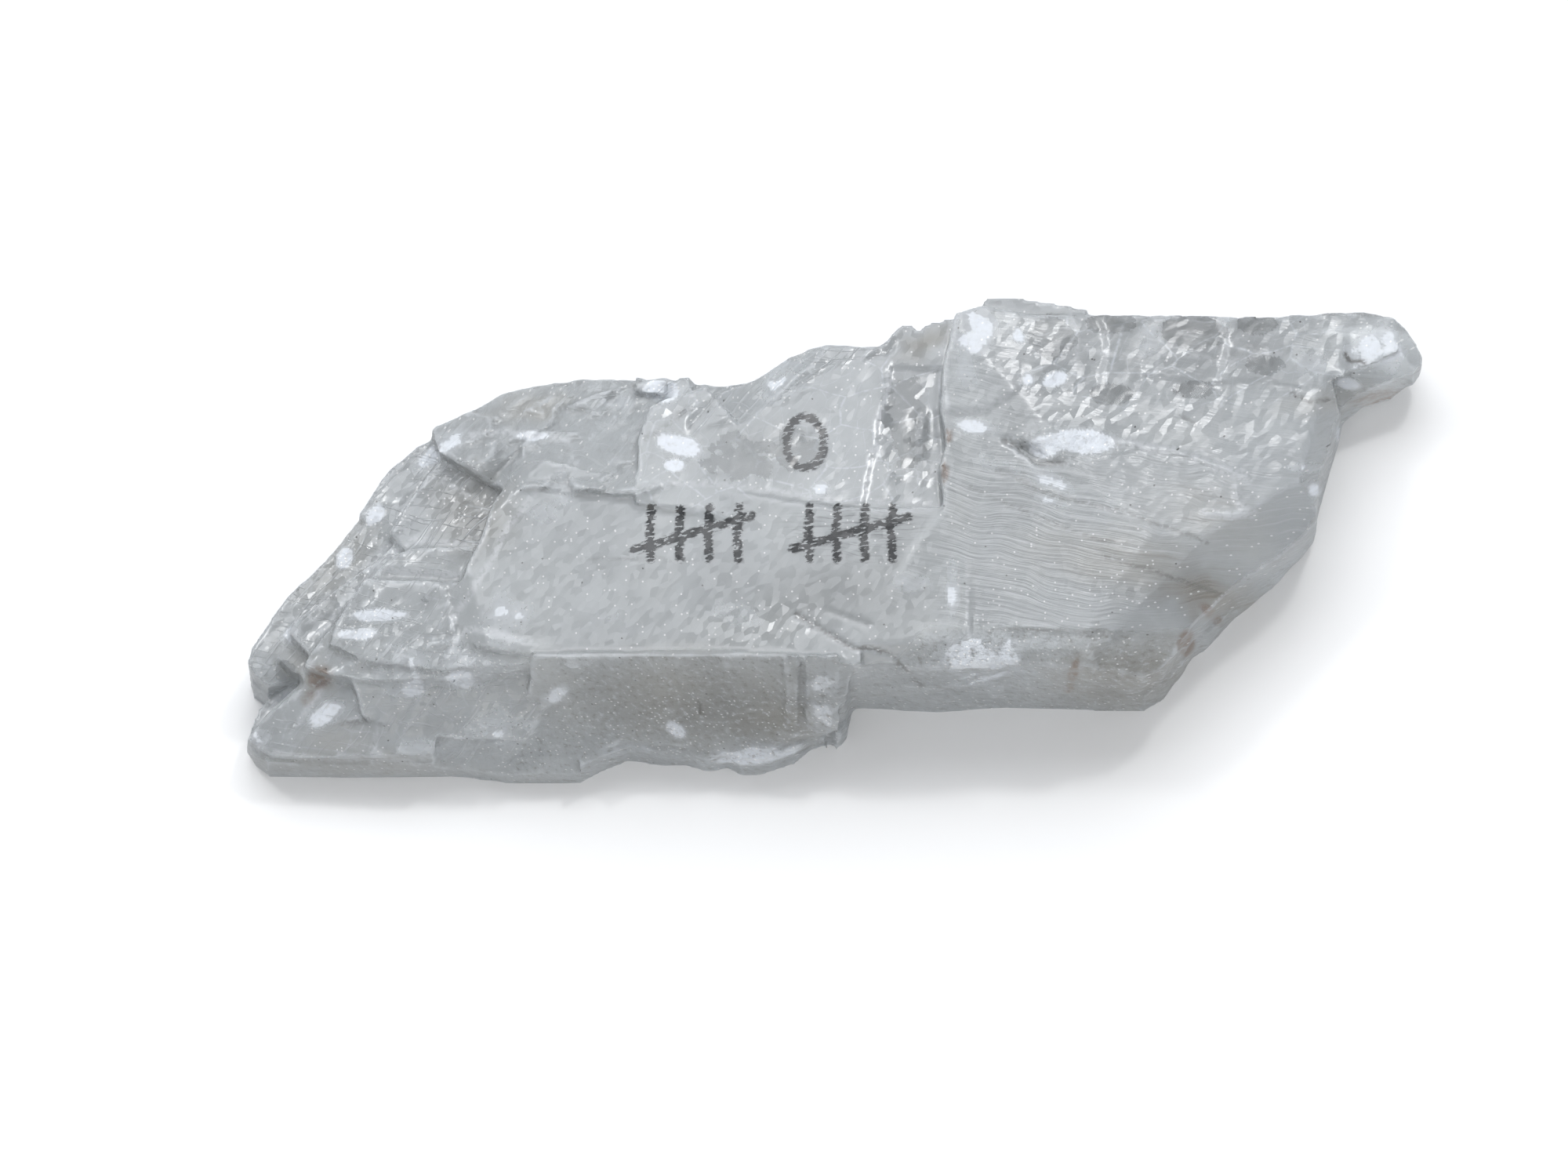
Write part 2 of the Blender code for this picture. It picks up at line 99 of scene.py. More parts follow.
# The table and the light
# A plain white sheet on a table in an even pale room, under a wide soft sky from behind and
# above, with small lamps in it for the glints and a weak warm fill at the front.
TABLE_SIZE = 8.0
TABLE_GAP = 0.00004
TABLE_COLOUR = (0.86, 0.86, 0.86, 1.0)
ROOM_COLOUR = (0.95, 0.97, 1.0, 1.0)
ROOM_STRENGTH = 0.66

bpy.ops.object.select_all(action="DESELECT")
bpy.ops.mesh.primitive_plane_add(size=TABLE_SIZE, location=(0.0, 0.0, -TABLE_GAP))
table = bpy.context.object
table.name = "table"
table_paint = bpy.data.materials.new("white_sheet")
table_paint.use_nodes = True
sheet_shader = table_paint.node_tree.nodes["Principled BSDF"]
sheet_shader.inputs["Base Color"].default_value = TABLE_COLOUR
sheet_shader.inputs["Roughness"].default_value = 0.9
sheet_shader.inputs["Specular IOR Level"].default_value = 0.1
table.data.materials.append(table_paint)

world = bpy.data.worlds.new("room")
world.use_nodes = True
world.node_tree.nodes["Background"].inputs["Color"].default_value = ROOM_COLOUR
world.node_tree.nodes["Background"].inputs["Strength"].default_value = ROOM_STRENGTH
bpy.context.scene.world = world

# Lamp: name, where it stands, width, height, watts, colour
LAMPS = [
    ("sky", (-0.10, 0.55, 0.75), 0.90, 0.70, 6.0, (0.95, 0.97, 1.0)),
    ("glint_lamp", (0.22, 0.36, 0.70), 0.07, 0.07, 0.9, (1.0, 1.0, 1.0)),
    ("left_glint_lamp", (-0.40, 0.30, 0.60), 0.08, 0.08, 0.8, (1.0, 1.0, 1.0)),
    ("front_fill", (0.05, -0.80, 0.55), 0.60, 0.40, 1.2, (1.0, 0.95, 0.88)),
]
for name, stand, width, height, watts, colour in LAMPS:
    lamp_data = bpy.data.lights.new(name, "AREA")
    lamp_data.shape = "RECTANGLE"
    lamp_data.size = width
    lamp_data.size_y = height
    lamp_data.energy = watts
    lamp_data.color = colour
    lamp = bpy.data.objects.new(name, lamp_data)
    lamp.location = stand
    lamp.rotation_euler = (crystal_middle - Vector(stand)).to_track_quat("-Z", "Y").to_euler()
    bpy.context.scene.collection.objects.link(lamp)
bpy.context.scene.view_settings.view_transform = "Standard"

# The crystal: its block
# One natural slab of selenite: a stack of cleavage plates, each ending in its own step, grown
# as one and broken off at the back, the right and the thick front. Plan points and heights
# are millimetres in the slab's own frame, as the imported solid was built; CENTRED is where the
# middle of its underside lies there.
CENTRED = (0.215, 1.594, 0.35)
SLAB_TOP = 25.0
BLOCK_TOP = 25.9
FOOT_TOP = 7.5
TIP_TOP = 12.5
# The foot: the whole outline on the table, from the left tip round the front, with the
# ragged lip of the thick front and the straight break of the right block
FOOT = [
    (-88.5, -16.0), (-89.5, -18.5), (-89.0, -20.5), (-86.5, -22.5), (-88.0, -24.5), (-89.8, -29.5),
    (-88.5, -31.5), (-86.5, -33.0), (-74.5, -33.3), (-58.5, -33.0), (-48.5, -34.3), (-39.0, -34.0),
    (-36.0, -32.3), (-31.7, -30.5), (-26.5, -31.4), (-23.0, -31.3), (-19.5, -32.3), (-16.5, -31.7),
    (-14.5, -32.9), (-12.0, -32.9), (-6.5, -31.0), (-4.0, -28.9), (-1.3, -27.9), (0.5, -28.4),
    (1.5, -27.0), (2.5, -22.0), (15.0, -22.8), (25.5, -22.0), (39.5, -22.5), (47.0, -22.5),
    (50.0, -20.7), (54.5, -14.0), (56.5, -12.8), (61.0, -7.7), (68.0, -2.4), (71.5, 1.0),
    (73.3, 3.8), (74.0, 9.0), (76.0, 16.3), (77.3, 21.0), (77.0, 33.0), (68.0, 36.6),
    (56.0, 34.0), (50.0, 36.8), (34.0, 36.4), (30.0, 33.0), (19.0, 33.5), (8.0, 30.5),
    (2.0, 31.5), (-7.0, 29.0), (-13.0, 25.5), (-27.0, 27.0), (-38.0, 26.5), (-46.0, 24.0),
    (-54.5, 19.7), (-63.0, 14.4), (-67.3, 11.0), (-72.0, 4.0), (-77.0, -3.3), (-83.0, -9.0),
    (-86.8, -13.5),
]

# The stepped plates, lowest first
LOWER_TIP = [
    (-80.1, -19.7), (-86.1, -25.5), (-89.5, -29.6), (-88.0, -31.3), (-86.0, -32.4), (-74.5, -32.7),
    (-60.0, -32.5), (-44.0, -28.0), (-50.0, -16.0), (-70.0, -18.0),
]
UPPER_TIP = [
    (-89.0, -16.0), (-89.7, -18.5), (-88.7, -20.3), (-86.5, -22.0), (-80.0, -19.5), (-70.0, -19.0),
    (-55.0, 0.0), (-57.0, 18.0), (-63.9, 15.2), (-68.1, 11.6), (-72.8, 4.6), (-77.9, -2.7),
    (-83.9, -8.4), (-87.8, -14.0),
]
OUTER_TERRACE = [
    (-65.9, 0.1), (-70.3, -3.9), (-76.3, -8.5), (-79.4, -10.6), (-82.7, -13.1), (-83.3, -14.8),
    (-80.4, -17.8), (-74.0, -19.0), (-52.0, -14.0), (-52.0, 4.0), (-60.0, 9.0),
]
RECESS_FLOOR = [
    (-68.2, 0.5), (-62.5, 9.5), (-60.5, 12.5), (-50.0, 15.0), (-42.0, 13.0), (-46.0, -3.0),
    (-56.0, -4.0), (-65.5, -3.0),
]
LEFT_TERRACE = [
    (-69.0, -5.3), (-67.4, -3.9), (-64.6, -2.8), (-54.5, -2.9), (-48.0, -4.0), (-46.0, -22.0),
    (-58.0, -23.5), (-70.0, -23.0), (-76.7, -21.7), (-80.7, -20.5), (-80.7, -19.3), (-73.6, -10.4),
]
INNER_TERRACE = [
    (-71.6, -7.6), (-57.4, -8.8), (-48.0, -9.5), (-46.0, -22.0), (-60.0, -22.5), (-71.0, -20.5),
    (-77.0, -17.5), (-76.0, -14.0),
]
BACK_SHOULDER = [
    (-60.5, 12.5), (-61.8, 17.2), (-54.8, 20.9), (-51.2, 23.7), (-46.8, 25.0), (-38.8, 26.2),
    (-33.0, 26.0), (-26.0, 26.6), (-22.6, 25.4), (-17.8, 24.8), (-12.4, 25.6), (-10.0, 14.0),
    (-30.0, 4.0), (-50.0, 6.0),
]
LABEL_SLAB = [
    (-30.4, 4.9), (-35.0, 7.6), (-41.5, 9.7), (-46.0, 10.5), (-49.1, 8.6), (-52.2, 3.4),
    (-54.0, -2.2), (-55.9, -5.9), (-58.4, -12.8), (-58.4, -16.5), (-54.0, -19.5), (-46.0, -21.0),
    (-40.0, -22.8), (-34.0, -21.4), (-20.0, -21.8), (-8.0, -22.2), (2.5, -23.0), (20.0, -20.0),
    (20.0, 2.2), (7.0, 1.9), (0.0, 2.3), (-8.0, 3.5), (-15.4, 4.6), (-23.4, 5.0),
]
LEFT_APRON = [
    (-74.0, -20.5), (-72.0, -27.0), (-68.0, -31.0), (-58.0, -32.6), (-52.0, -33.3), (-48.8, -32.7),
    (-45.0, -28.4), (-41.2, -24.4), (-40.5, -20.0), (-52.0, -17.0), (-60.0, -18.0),
]
FRONT_APRON = [
    (-46.0, -21.0), (-48.0, -32.5), (-42.0, -32.6), (-36.5, -31.6), (-31.7, -29.8), (-26.0, -30.6),
    (-19.5, -31.4), (-12.0, -31.8), (-6.5, -30.0), (-3.0, -27.8), (1.2, -26.2), (2.6, -21.8),
    (-20.0, -21.2),
]
WINDOW_PLATE = [
    (-30.5, 3.0), (-30.4, 13.2), (-28.5, 18.9), (-22.0, 21.5), (-12.4, 24.5), (-7.6, 28.0),
    (-3.5, 29.4), (6.2, 29.2), (8.0, 30.4), (18.0, 31.5), (20.0, 0.0), (0.0, -2.0),
]
RIGHT_BLOCK = [
    (2.8, -22.1), (15.0, -22.9), (25.5, -22.1), (39.5, -22.5), (46.6, -22.4), (49.6, -20.6),
    (54.3, -13.9), (60.8, -7.6), (67.8, -2.3), (71.3, 1.0), (73.1, 3.8), (73.7, 9.0),
    (75.9, 16.3), (77.3, 21.0), (78.0, 34.6), (68.2, 35.2), (53.1, 34.7), (43.2, 33.9),
    (31.0, 33.2), (22.3, 34.5), (18.2, 32.5), (16.6, 24.8), (16.0, 18.3), (16.8, 11.8),
    (15.9, 8.5), (16.4, 1.8), (12.0, -4.0),
]
BACK_SLIVER = [
    (20.0, 30.0), (21.6, 34.9), (23.2, 36.9), (27.5, 36.8), (31.4, 35.9), (38.0, 34.6), (38.0, 30.0),
]
CORNER_SPLINTER = [
    (8.0, 26.0), (8.0, 30.4), (9.3, 32.4), (11.2, 32.8), (12.3, 31.7), (14.2, 33.0), (18.5, 34.0),
    (19.0, 26.0),
]
NOSE = [
    (70.0, 21.0), (77.0, 22.5), (80.7, 25.4), (86.5, 27.4), (88.6, 27.9), (89.8, 29.8),
    (90.0, 31.4), (88.9, 33.2), (87.4, 34.9), (85.0, 36.4), (80.0, 36.6), (68.2, 35.4),
]

# Each plate: outline, underside, and top as (height, at x, at y, rise along x, rise along y)
PLATES = {
    "foot": (FOOT, 0.0, (FOOT_TOP, -30.0, -30.0, 0.0, 0.0)),
    "lower_tip": (LOWER_TIP, 1.0, (9.3, -80.0, -32.0, 0.10, 0.34)),
    "upper_tip": (UPPER_TIP, 1.0, (TIP_TOP, -85.0, -17.0, 0.10, 0.02)),
    "outer_terrace": (OUTER_TERRACE, 2.0, (15.6, -80.0, -14.0, 0.11, 0.02)),
    "recess_floor": (RECESS_FLOOR, 2.0, (18.4, -60.0, 5.0, 0.05, -0.06)),
    "left_terrace": (LEFT_TERRACE, 2.0, (19.6, -68.0, -6.0, 0.16, 0.10)),
    "inner_terrace": (INNER_TERRACE, 2.0, (20.7, -68.0, -8.0, 0.16, 0.10)),
    "back_shoulder": (BACK_SHOULDER, 2.0, (21.6, -35.0, 12.0, 0.03, -0.50)),
    "left_apron": (LEFT_APRON, 2.0, (20.6, -58.0, -19.5, 0.12, 0.80)),
    "front_apron": (FRONT_APRON, 2.0, (SLAB_TOP, -20.0, -21.6, 0.02, 1.70)),
    "label_slab": (LABEL_SLAB, 2.0, (SLAB_TOP, 0.0, -8.0, 0.024, 0.0)),
    "window_plate": (WINDOW_PLATE, 2.0, (SLAB_TOP - 1.2, 0.0, 2.0, -0.05, -0.08)),
    "right_block": (RIGHT_BLOCK, 1.0, (BLOCK_TOP, 16.0, 6.0, -0.01, 0.04)),
    "back_sliver": (BACK_SLIVER, 2.0, (22.5, 30.0, 34.0, 0.0, 0.0)),
    "corner_splinter": (CORNER_SPLINTER, 2.0, (21.5, 12.0, 31.0, 0.0, 0.0)),
    "nose": (NOSE, 3.0, (16.2, 78.0, 31.0, -0.12, 0.0)),
}

# The fluted splinter at the inner corner of the front: ribs that run down the broken slope
RIB_PLACES = (-6.9, -3.7, -0.7)
RIB_WIDTH = 1.9
RIB_FRONT = -29.0
RIB_BACK = -21.6
RIB_PROUD = 2.2

# Small upright slivers and lumps: middle x, y, length, width, underside, top, turn in degrees
SLIVERS = {
    "white_lump": (-27.0, 22.6, 13.0, 8.0, 3.0, 17.6, 12.0),
    "lump_crest": (-28.4, 23.6, 6.0, 4.4, 3.0, 19.0, -8.0),
    "shoulder_ledge": (-43.5, 15.0, 9.5, 4.0, 3.0, 20.2, -4.0),
    "shoulder_block": (-36.0, 20.6, 12.0, 8.0, 3.0, 17.6, 20.0),
    "shoulder_knob": (-53.5, 16.5, 8.0, 5.5, 3.0, 16.8, 38.0),
    "crust_ridge": (35.0, 12.6, 14.0, 2.6, 20.0, 27.2, -9.0),
    "ridge_tail": (47.5, 10.4, 11.0, 1.6, 18.0, 26.4, -12.0),
    "back_ledge": (58.0, 32.0, 26.0, 6.0, 2.0, 11.0, 2.0),
    "back_step": (-2.0, 27.6, 16.0, 6.0, 2.0, 11.5, 5.0),
    "left_back_step": (-48.0, 21.0, 15.0, 6.0, 2.0, 9.0, 26.0),
}
SLIVER_LEAN = 0.22

# Broken faces: middle of the face x, y, z, the way it looks (degrees, 0 = +X, 90 = +Y),
# its dip from level, and its width, its length down the dip and the depth that it takes off
BREAKS = {
    "left_lip": (-50.0, -31.8, 7.6, 268.0, 52.0, 22.0, 8.0, 8.0),
    "slab_left": (-56.6, -11.5, 22.6, 195.0, 32.0, 20.0, 5.0, 5.0),
    "slab_corner": (-50.0, 7.0, 22.2, 140.0, 38.0, 12.0, 7.0, 6.0),
    "back_slope": (-10.0, 24.5, 20.6, 128.0, 32.0, 18.0, 9.0, 8.0),
    "front_bevel": (26.0, -20.6, 24.5, 270.0, 32.0, 45.0, 5.5, 5.0),
    "front_chip": (46.0, -20.0, 21.0, 292.0, 46.0, 14.0, 12.0, 9.0),
    "window_fall": (60.0, 28.0, 19.9, 30.0, 11.3, 80.0, 72.0, 12.0),
    "fan_fall": (64.0, -1.0, 21.9, 322.0, 15.0, 80.0, 42.0, 12.0),
    "fan_edge": (62.0, -3.2, 19.0, 318.0, 40.0, 60.0, 14.0, 14.0),
    "far_end": (75.4, 14.0, 15.0, 352.0, 50.0, 24.0, 13.0, 10.0),
    "nose_tip": (88.6, 31.8, 12.0, 5.0, 44.0, 16.0, 8.0, 8.0),
    "nose_front": (84.5, 27.9, 12.6, 288.0, 40.0, 18.0, 6.0, 8.0),
    "nose_under": (87.0, 30.0, 3.8, 335.0, 128.0, 20.0, 7.0, 8.0),
    "tip_bevel": (-85.3, -25.6, 10.8, 140.0, 52.0, 12.0, 4.0, 6.0),
    "outer_bevel": (-81.6, -5.4, 12.8, 135.0, 50.0, 26.0, 4.0, 6.0),
    "under_back": (20.0, 34.4, 3.0, 90.0, 122.0, 84.0, 10.0, 10.0),
    "under_left": (-74.0, 3.2, 2.8, 138.0, 125.0, 40.0, 9.0, 8.0),
    "under_shoulder": (-36.0, 26.4, 3.0, 92.0, 128.0, 40.0, 9.0, 8.0),
    "under_right": (66.0, -3.7, 2.0, 318.0, 118.0, 34.0, 6.0, 6.0),
}

# Dark hollows and cracks: middle x, y, z, length, width, depth, turn in degrees
HOLLOWS = {
    "crust_hollow": (29.6, 11.2, 26.0, 6.0, 1.8, 1.6, -30.0),
    "shoulder_crack": (-24.6, 17.6, 19.2, 9.0, 1.4, 3.0, 28.0),
    "slab_crack": (2.0, -15.6, 25.4, 12.0, 0.9, 1.6, -20.0),
    "lip_notch": (-0.6, -29.2, 6.0, 2.0, 4.0, 5.0, 20.0),
}

SKIN = 0.5 * MM
UNDERSIDE_KEPT = 0.02


def put_in(group, thing):
    """Moves an object to one collection."""
    for home in list(thing.users_collection):
        home.objects.unlink(thing)
    group.objects.link(thing)


def plane_height(x, y, top):
    """Height of a plate's tilted top above a place in plan."""
    height, at_x, at_y, along_x, along_y = top
    return height + along_x * (x - at_x) + along_y * (y - at_y)


def model_plate(name, outline, low, top, group):
    """One plate: its outline as a flat face, extruded up to its tilted top."""
    bpy.ops.mesh.primitive_circle_add(vertices=len(outline), radius=MM, fill_type="NGON")
    plate = bpy.context.object
    plate.name = "plate_" + name
    for corner, (x, y) in zip(plate.data.vertices, outline):
        corner.co = (x * MM, y * MM, low * MM)
    bpy.ops.object.mode_set(mode="EDIT")
    bpy.ops.mesh.select_all(action="SELECT")
    bpy.ops.mesh.extrude_region_move(TRANSFORM_OT_translate={"value": (0.0, 0.0, MM)})
    bpy.ops.object.mode_set(mode="OBJECT")
    for corner in plate.data.vertices:
        if corner.select:
            corner.co.z = plane_height(corner.co.x / MM, corner.co.y / MM, top) * MM
    bpy.ops.object.mode_set(mode="EDIT")
    bpy.ops.mesh.select_all(action="SELECT")
    bpy.ops.mesh.normals_make_consistent(inside=False)
    bpy.ops.object.mode_set(mode="OBJECT")
    put_in(group, plate)
    return plate


def model_cube(name, size, rise, group):
    """A cube of the given size in millimetres, raised by a share of its own height."""
    bpy.ops.mesh.primitive_cube_add(size=1.0)
    cube = bpy.context.object
    cube.name = name
    for corner in cube.data.vertices:
        corner.co.z += rise
        corner.co = [part * length * MM for part, length in zip(corner.co, size)]
    put_in(group, cube)
    return cube


def turn_to(thing, place, turn):
    """Places an object in millimetres, turned by degrees, and keeps both in its mesh."""
    thing.location = [part * MM for part in place]
    thing.rotation_euler = [math.radians(angle) for angle in turn]
    bpy.ops.object.select_all(action="DESELECT")
    thing.select_set(True)
    bpy.context.view_layer.objects.active = thing
    bpy.ops.object.transform_apply(location=True, rotation=True, scale=True)


plates = bpy.data.collections.new("plates")
breaks = bpy.data.collections.new("breaks")
for group in (plates, breaks):
    bpy.context.scene.collection.children.link(group)

for name, (outline, low, top) in PLATES.items():
    model_plate(name, outline, low, top, plates)
for number, x in enumerate(RIB_PLACES):
    left = x - RIB_WIDTH / 2
    right = x + RIB_WIDTH / 2
    outline = [(left, RIB_FRONT), (right, RIB_FRONT), (right, RIB_BACK), (left, RIB_BACK)]
    top = (SLAB_TOP + RIB_PROUD, x, RIB_BACK, 0.1 * (number - 1), 1.75)
    model_plate("rib_%d" % number, outline, 2.0, top, plates)
for name, (x, y, length, width, low, high, turn) in SLIVERS.items():
    sliver = model_cube("sliver_" + name, (length, width, high - low), 0.0, plates)
    for corner in sliver.data.vertices:
        if corner.co.z > 0.0:
            corner.co.x *= 1.0 - SLIVER_LEAN
            corner.co.y *= 1.0 - 2.0 * SLIVER_LEAN
    turn_to(sliver, (x, y, (low + high) / 2), (0.0, 0.0, turn))
for name, (x, y, z, looks, dip, width, length, depth) in BREAKS.items():
    block = model_cube("break_" + name, (length, width, depth), 0.5, breaks)
    turn_to(block, (x, y, z), (0.0, dip, looks))
for name, (x, y, z, length, width, depth, turn) in HOLLOWS.items():
    bpy.ops.mesh.primitive_uv_sphere_add(segments=12, ring_count=6, radius=0.5)
    pit = bpy.context.object
    pit.name = "hollow_" + name
    for corner in pit.data.vertices:
        corner.co = [part * size * MM for part, size in zip(corner.co, (length, width, 2.0 * depth))]
    turn_to(pit, (x, y, z), (0.0, 0.0, turn))
    put_in(breaks, pit)
table_cut = model_cube("table_cut", (300.0, 200.0, 50.0), -0.5, breaks)
turn_to(table_cut, (0.0, 0.0, CENTRED[2]), (0.0, 0.0, 0.0))

crystal = plates.objects["plate_foot"]
crystal.name = "crystal_body"
put_in(bpy.context.scene.collection, crystal)
bpy.ops.object.select_all(action="DESELECT")
crystal.select_set(True)
bpy.context.view_layer.objects.active = crystal
for operation, group in (("UNION", plates), ("DIFFERENCE", breaks)):
    step = crystal.modifiers.new(operation.lower(), "BOOLEAN")
    step.operation = operation
    step.operand_type = "COLLECTION"
    step.collection = group
    step.solver = "EXACT"
    bpy.ops.object.modifier_apply(modifier=step.name)
for group in (plates, breaks):
    for tool in list(group.objects):
        bpy.data.objects.remove(tool)
    bpy.data.collections.remove(group)
step = crystal.modifiers.new("skin", "REMESH")
step.mode = "VOXEL"
step.voxel_size = SKIN
bpy.ops.object.modifier_apply(modifier=step.name)
turn_to(crystal, [-part for part in CENTRED], (0.0, 0.0, 0.0))
crystal.data.materials.clear()

bpy.ops.object.mode_set(mode="EDIT")
bpy.ops.mesh.select_mode(type="FACE")
bpy.ops.mesh.select_all(action="DESELECT")
bpy.ops.object.mode_set(mode="OBJECT")
for face in crystal.data.polygons:
    face.select = face.normal.z < -0.99 and face.center.z < 0.3 * MM
bpy.ops.object.mode_set(mode="EDIT")
bpy.ops.mesh.decimate(ratio=UNDERSIDE_KEPT)
bpy.ops.mesh.select_all(action="SELECT")
bpy.ops.mesh.quads_convert_to_tris()
bpy.ops.object.mode_set(mode="OBJECT")
print("TRIS", len(crystal.data.polygons), len(crystal.data.vertices))


# The crystal: how its surface is marked out
# Places on it are millimetres right of and above its middle, as the photographer sees it.
SEEN_LIFT = 0.84


def mesh_values(name):
    """Reads the crystal's points or their normals as rows of three numbers."""
    numbers = np.empty(len(crystal.data.vertices) * 3)
    crystal.data.vertices.foreach_get(name, numbers)
    return numbers.reshape(-1, 3)


def seen_places(points):
    """Turns points in millimetres into places seen: right of and above the middle."""
    away = points - np.array(crystal_middle) / MM
    return np.column_stack((away[:, 0], away[:, 1] * view_up.y + away[:, 2] * view_up.z + SEEN_LIFT))


def fade(value, low, high):
    """Rises smoothly from 0 at low to 1 at high."""
    part = np.clip((value - low) / (high - low), 0.0, 1.0)
    return part * part * (3.0 - 2.0 * part)


def dice(cells, seed):
    """A steady random number from 0 to 1 for each whole-number cell."""
    mixed = np.full(len(cells), seed * 2654435761, dtype=np.uint64)
    for column, prime in zip(cells.astype(np.int64).T, (73856093, 19349663, 83492791)):
        mixed = mixed ^ (column * prime).astype(np.uint64)
        mixed = (mixed ^ (mixed >> np.uint64(13))) * np.uint64(1274126177)
        mixed = mixed & np.uint64(0xFFFFFFFF)
    mixed = mixed ^ (mixed >> np.uint64(16))
    return (mixed & np.uint64(0xFFFFFF)).astype(float) / 0xFFFFFF


def swell(points, size, seed, octaves=1):
    """Smooth noise from about -1 to 1, with lumps of the given size in millimetres."""
    total = np.zeros(len(points))
    strength = 1.0
    for octave in range(octaves):
        scaled = points * (2.0 ** octave) / np.asarray(size)
        cell = np.floor(scaled)
        part = scaled - cell
        part = part * part * (3.0 - 2.0 * part)
        lump = np.zeros(len(points))
        for corner in np.ndindex(*(2,) * points.shape[1]):
            weight = np.prod(np.where(corner, part, 1.0 - part), axis=1)
            lump += weight * dice(cell + corner, seed + octave)
        total += strength * (lump * 2.0 - 1.0)
        strength *= 0.5
    return total


def path_gap(spots, path):
    """Distance to a path of straight stretches, and the side of it: 1 left, -1 right."""
    nearest = np.full(len(spots), 1e9)
    side = np.ones(len(spots))
    for start, end in zip(path, path[1:]):
        run = np.subtract(end, start)
        away = spots - start
        along = np.clip(away @ run / (run @ run), 0.0, 1.0)
        gap = np.linalg.norm(away - along[:, None] * run, axis=1)
        turn = np.sign(run[0] * away[:, 1] - run[1] * away[:, 0])
        side = np.where(gap < nearest, turn, side)
        nearest = np.minimum(nearest, gap)
    return nearest, side


def depth_inside(spots, outline):
    """How far inside an outline each place lies, in millimetres; below zero outside."""
    inside = np.zeros(len(spots), dtype=bool)
    for start, end in zip(outline, outline[1:] + outline[:1]):
        rise = (end[1] - start[1]) or 1e-9
        crossing = start[0] + (spots[:, 1] - start[1]) * (end[0] - start[0]) / rise
        between = (start[1] > spots[:, 1]) != (end[1] > spots[:, 1])
        inside ^= between & (spots[:, 0] < crossing)
    nearest = path_gap(spots, outline + outline[:1])[0]
    return np.where(inside, nearest, -nearest)


def touches(spots, marks, core=0.35):
    """Soft round touches, each: right, up, half width, half height, turn, strength."""
    total = np.zeros(len(spots))
    for right, up, half_width, half_height, turn, strength in marks:
        away = spots - (right, up)
        angle = math.radians(turn)
        along = away[:, 0] * math.cos(angle) + away[:, 1] * math.sin(angle)
        over = away[:, 1] * math.cos(angle) - away[:, 0] * math.sin(angle)
        reach = np.hypot(along / half_width, over / half_height)
        total = np.maximum(total, strength * fade(-reach, -1.5, -core))
    return total


# Seen outlines of ground that is not one plate
BRIGHT_SLOPE = [
    (-15.5, 25.0), (-7.5, 30.0), (-2.5, 32.0), (8.0, 32.0), (9.5, 29.0), (5.0, 27.5),
    (-1.0, 26.0), (-7.0, 22.5), (-13.0, 19.0), (-20.0, 17.0), (-22.5, 15.5), (-22.5, 20.0),
]
WINDOWS = [
    (25.5, 36.0), (53.0, 37.0), (68.0, 36.5), (75.5, 36.0), (76.5, 29.5), (75.5, 22.5),
    (58.5, 20.5), (45.5, 20.0), (38.5, 20.0), (27.5, 24.0),
]
FAN = [
    (16.5, 9.5), (26.5, 11.5), (39.5, 12.5), (62.0, 12.5), (80.0, 14.5), (80.0, 1.0),
    (72.0, -10.5), (62.0, -17.5), (54.5, -15.0), (46.5, -13.5), (27.5, -13.0), (16.5, -12.5),
]
FRONT_WALL = [
    (13.5, -13.5), (25.5, -13.5), (46.5, -14.5), (60.0, -13.0), (60.0, -34.0), (3.5, -34.0),
    (8.5, -19.5),
]
FRONT_FALL = [
    (-42.0, -17.5), (-20.0, -17.0), (-8.0, -17.5), (-3.5, -19.5), (2.5, -23.0), (4.5, -45.0),
    (-55.0, -45.0), (-51.0, -38.0), (-47.5, -31.5), (-40.0, -26.0),
]
# The two directions in which selenite splits, as seen on the flats
LONG_CLEAVAGE = 49.0
CROSS_CLEAVAGE = -4.0


def split_plates(spots, along, across, seed, slant):
    """Heights, -1 to 1, of small plates bounded by the two cleavages, with soft steps."""
    long_way = math.radians(LONG_CLEAVAGE)
    cross_way = math.radians(CROSS_CLEAVAGE)
    skew = np.array((
        (math.cos(long_way), math.cos(cross_way)),
        (math.sin(long_way), math.sin(cross_way)),
    ))
    where = spots @ np.linalg.inv(skew).T / (along, across)
    home = np.floor(where)
    best = np.full((2, len(spots)), 1e9)
    level = np.zeros((2, len(spots)))
    for corner in np.ndindex(3, 3):
        cell = home + corner - 1.0
        seat = cell + 0.15 + 0.7 * np.column_stack((dice(cell, seed), dice(cell, seed + 1)))
        away = where - seat
        reach = np.maximum(np.abs(away[:, 0]), np.abs(away[:, 1]))
        lean = away[:, 0] * (dice(cell, seed + 3) - 0.5) + away[:, 1] * (dice(cell, seed + 4) - 0.5)
        height = dice(cell, seed + 2) * 2.0 - 1.0 + slant * lean
        first = reach < best[0]
        second = ~first & (reach < best[1])
        best[1] = np.where(first, best[0], np.where(second, reach, best[1]))
        level[1] = np.where(first, level[0], np.where(second, height, level[1]))
        best[0] = np.where(first, reach, best[0])
        level[0] = np.where(first, height, level[0])
    step_width = 0.6 / min(along, across)
    share = 0.5 + 0.5 * fade(best[1] - best[0], 0.0, step_width)
    return level[0] * share + level[1] * (1.0 - share)


def streaks(spots, turn, length, breadth, seed):
    """Fine ridges, -1 to 1, running the given way."""
    angle = math.radians(turn)
    along = spots[:, 0] * math.cos(angle) + spots[:, 1] * math.sin(angle)
    over = spots[:, 1] * math.cos(angle) - spots[:, 0] * math.sin(angle)
    return swell(np.column_stack((along, over)), (length, breadth), seed, octaves=2) / 1.5


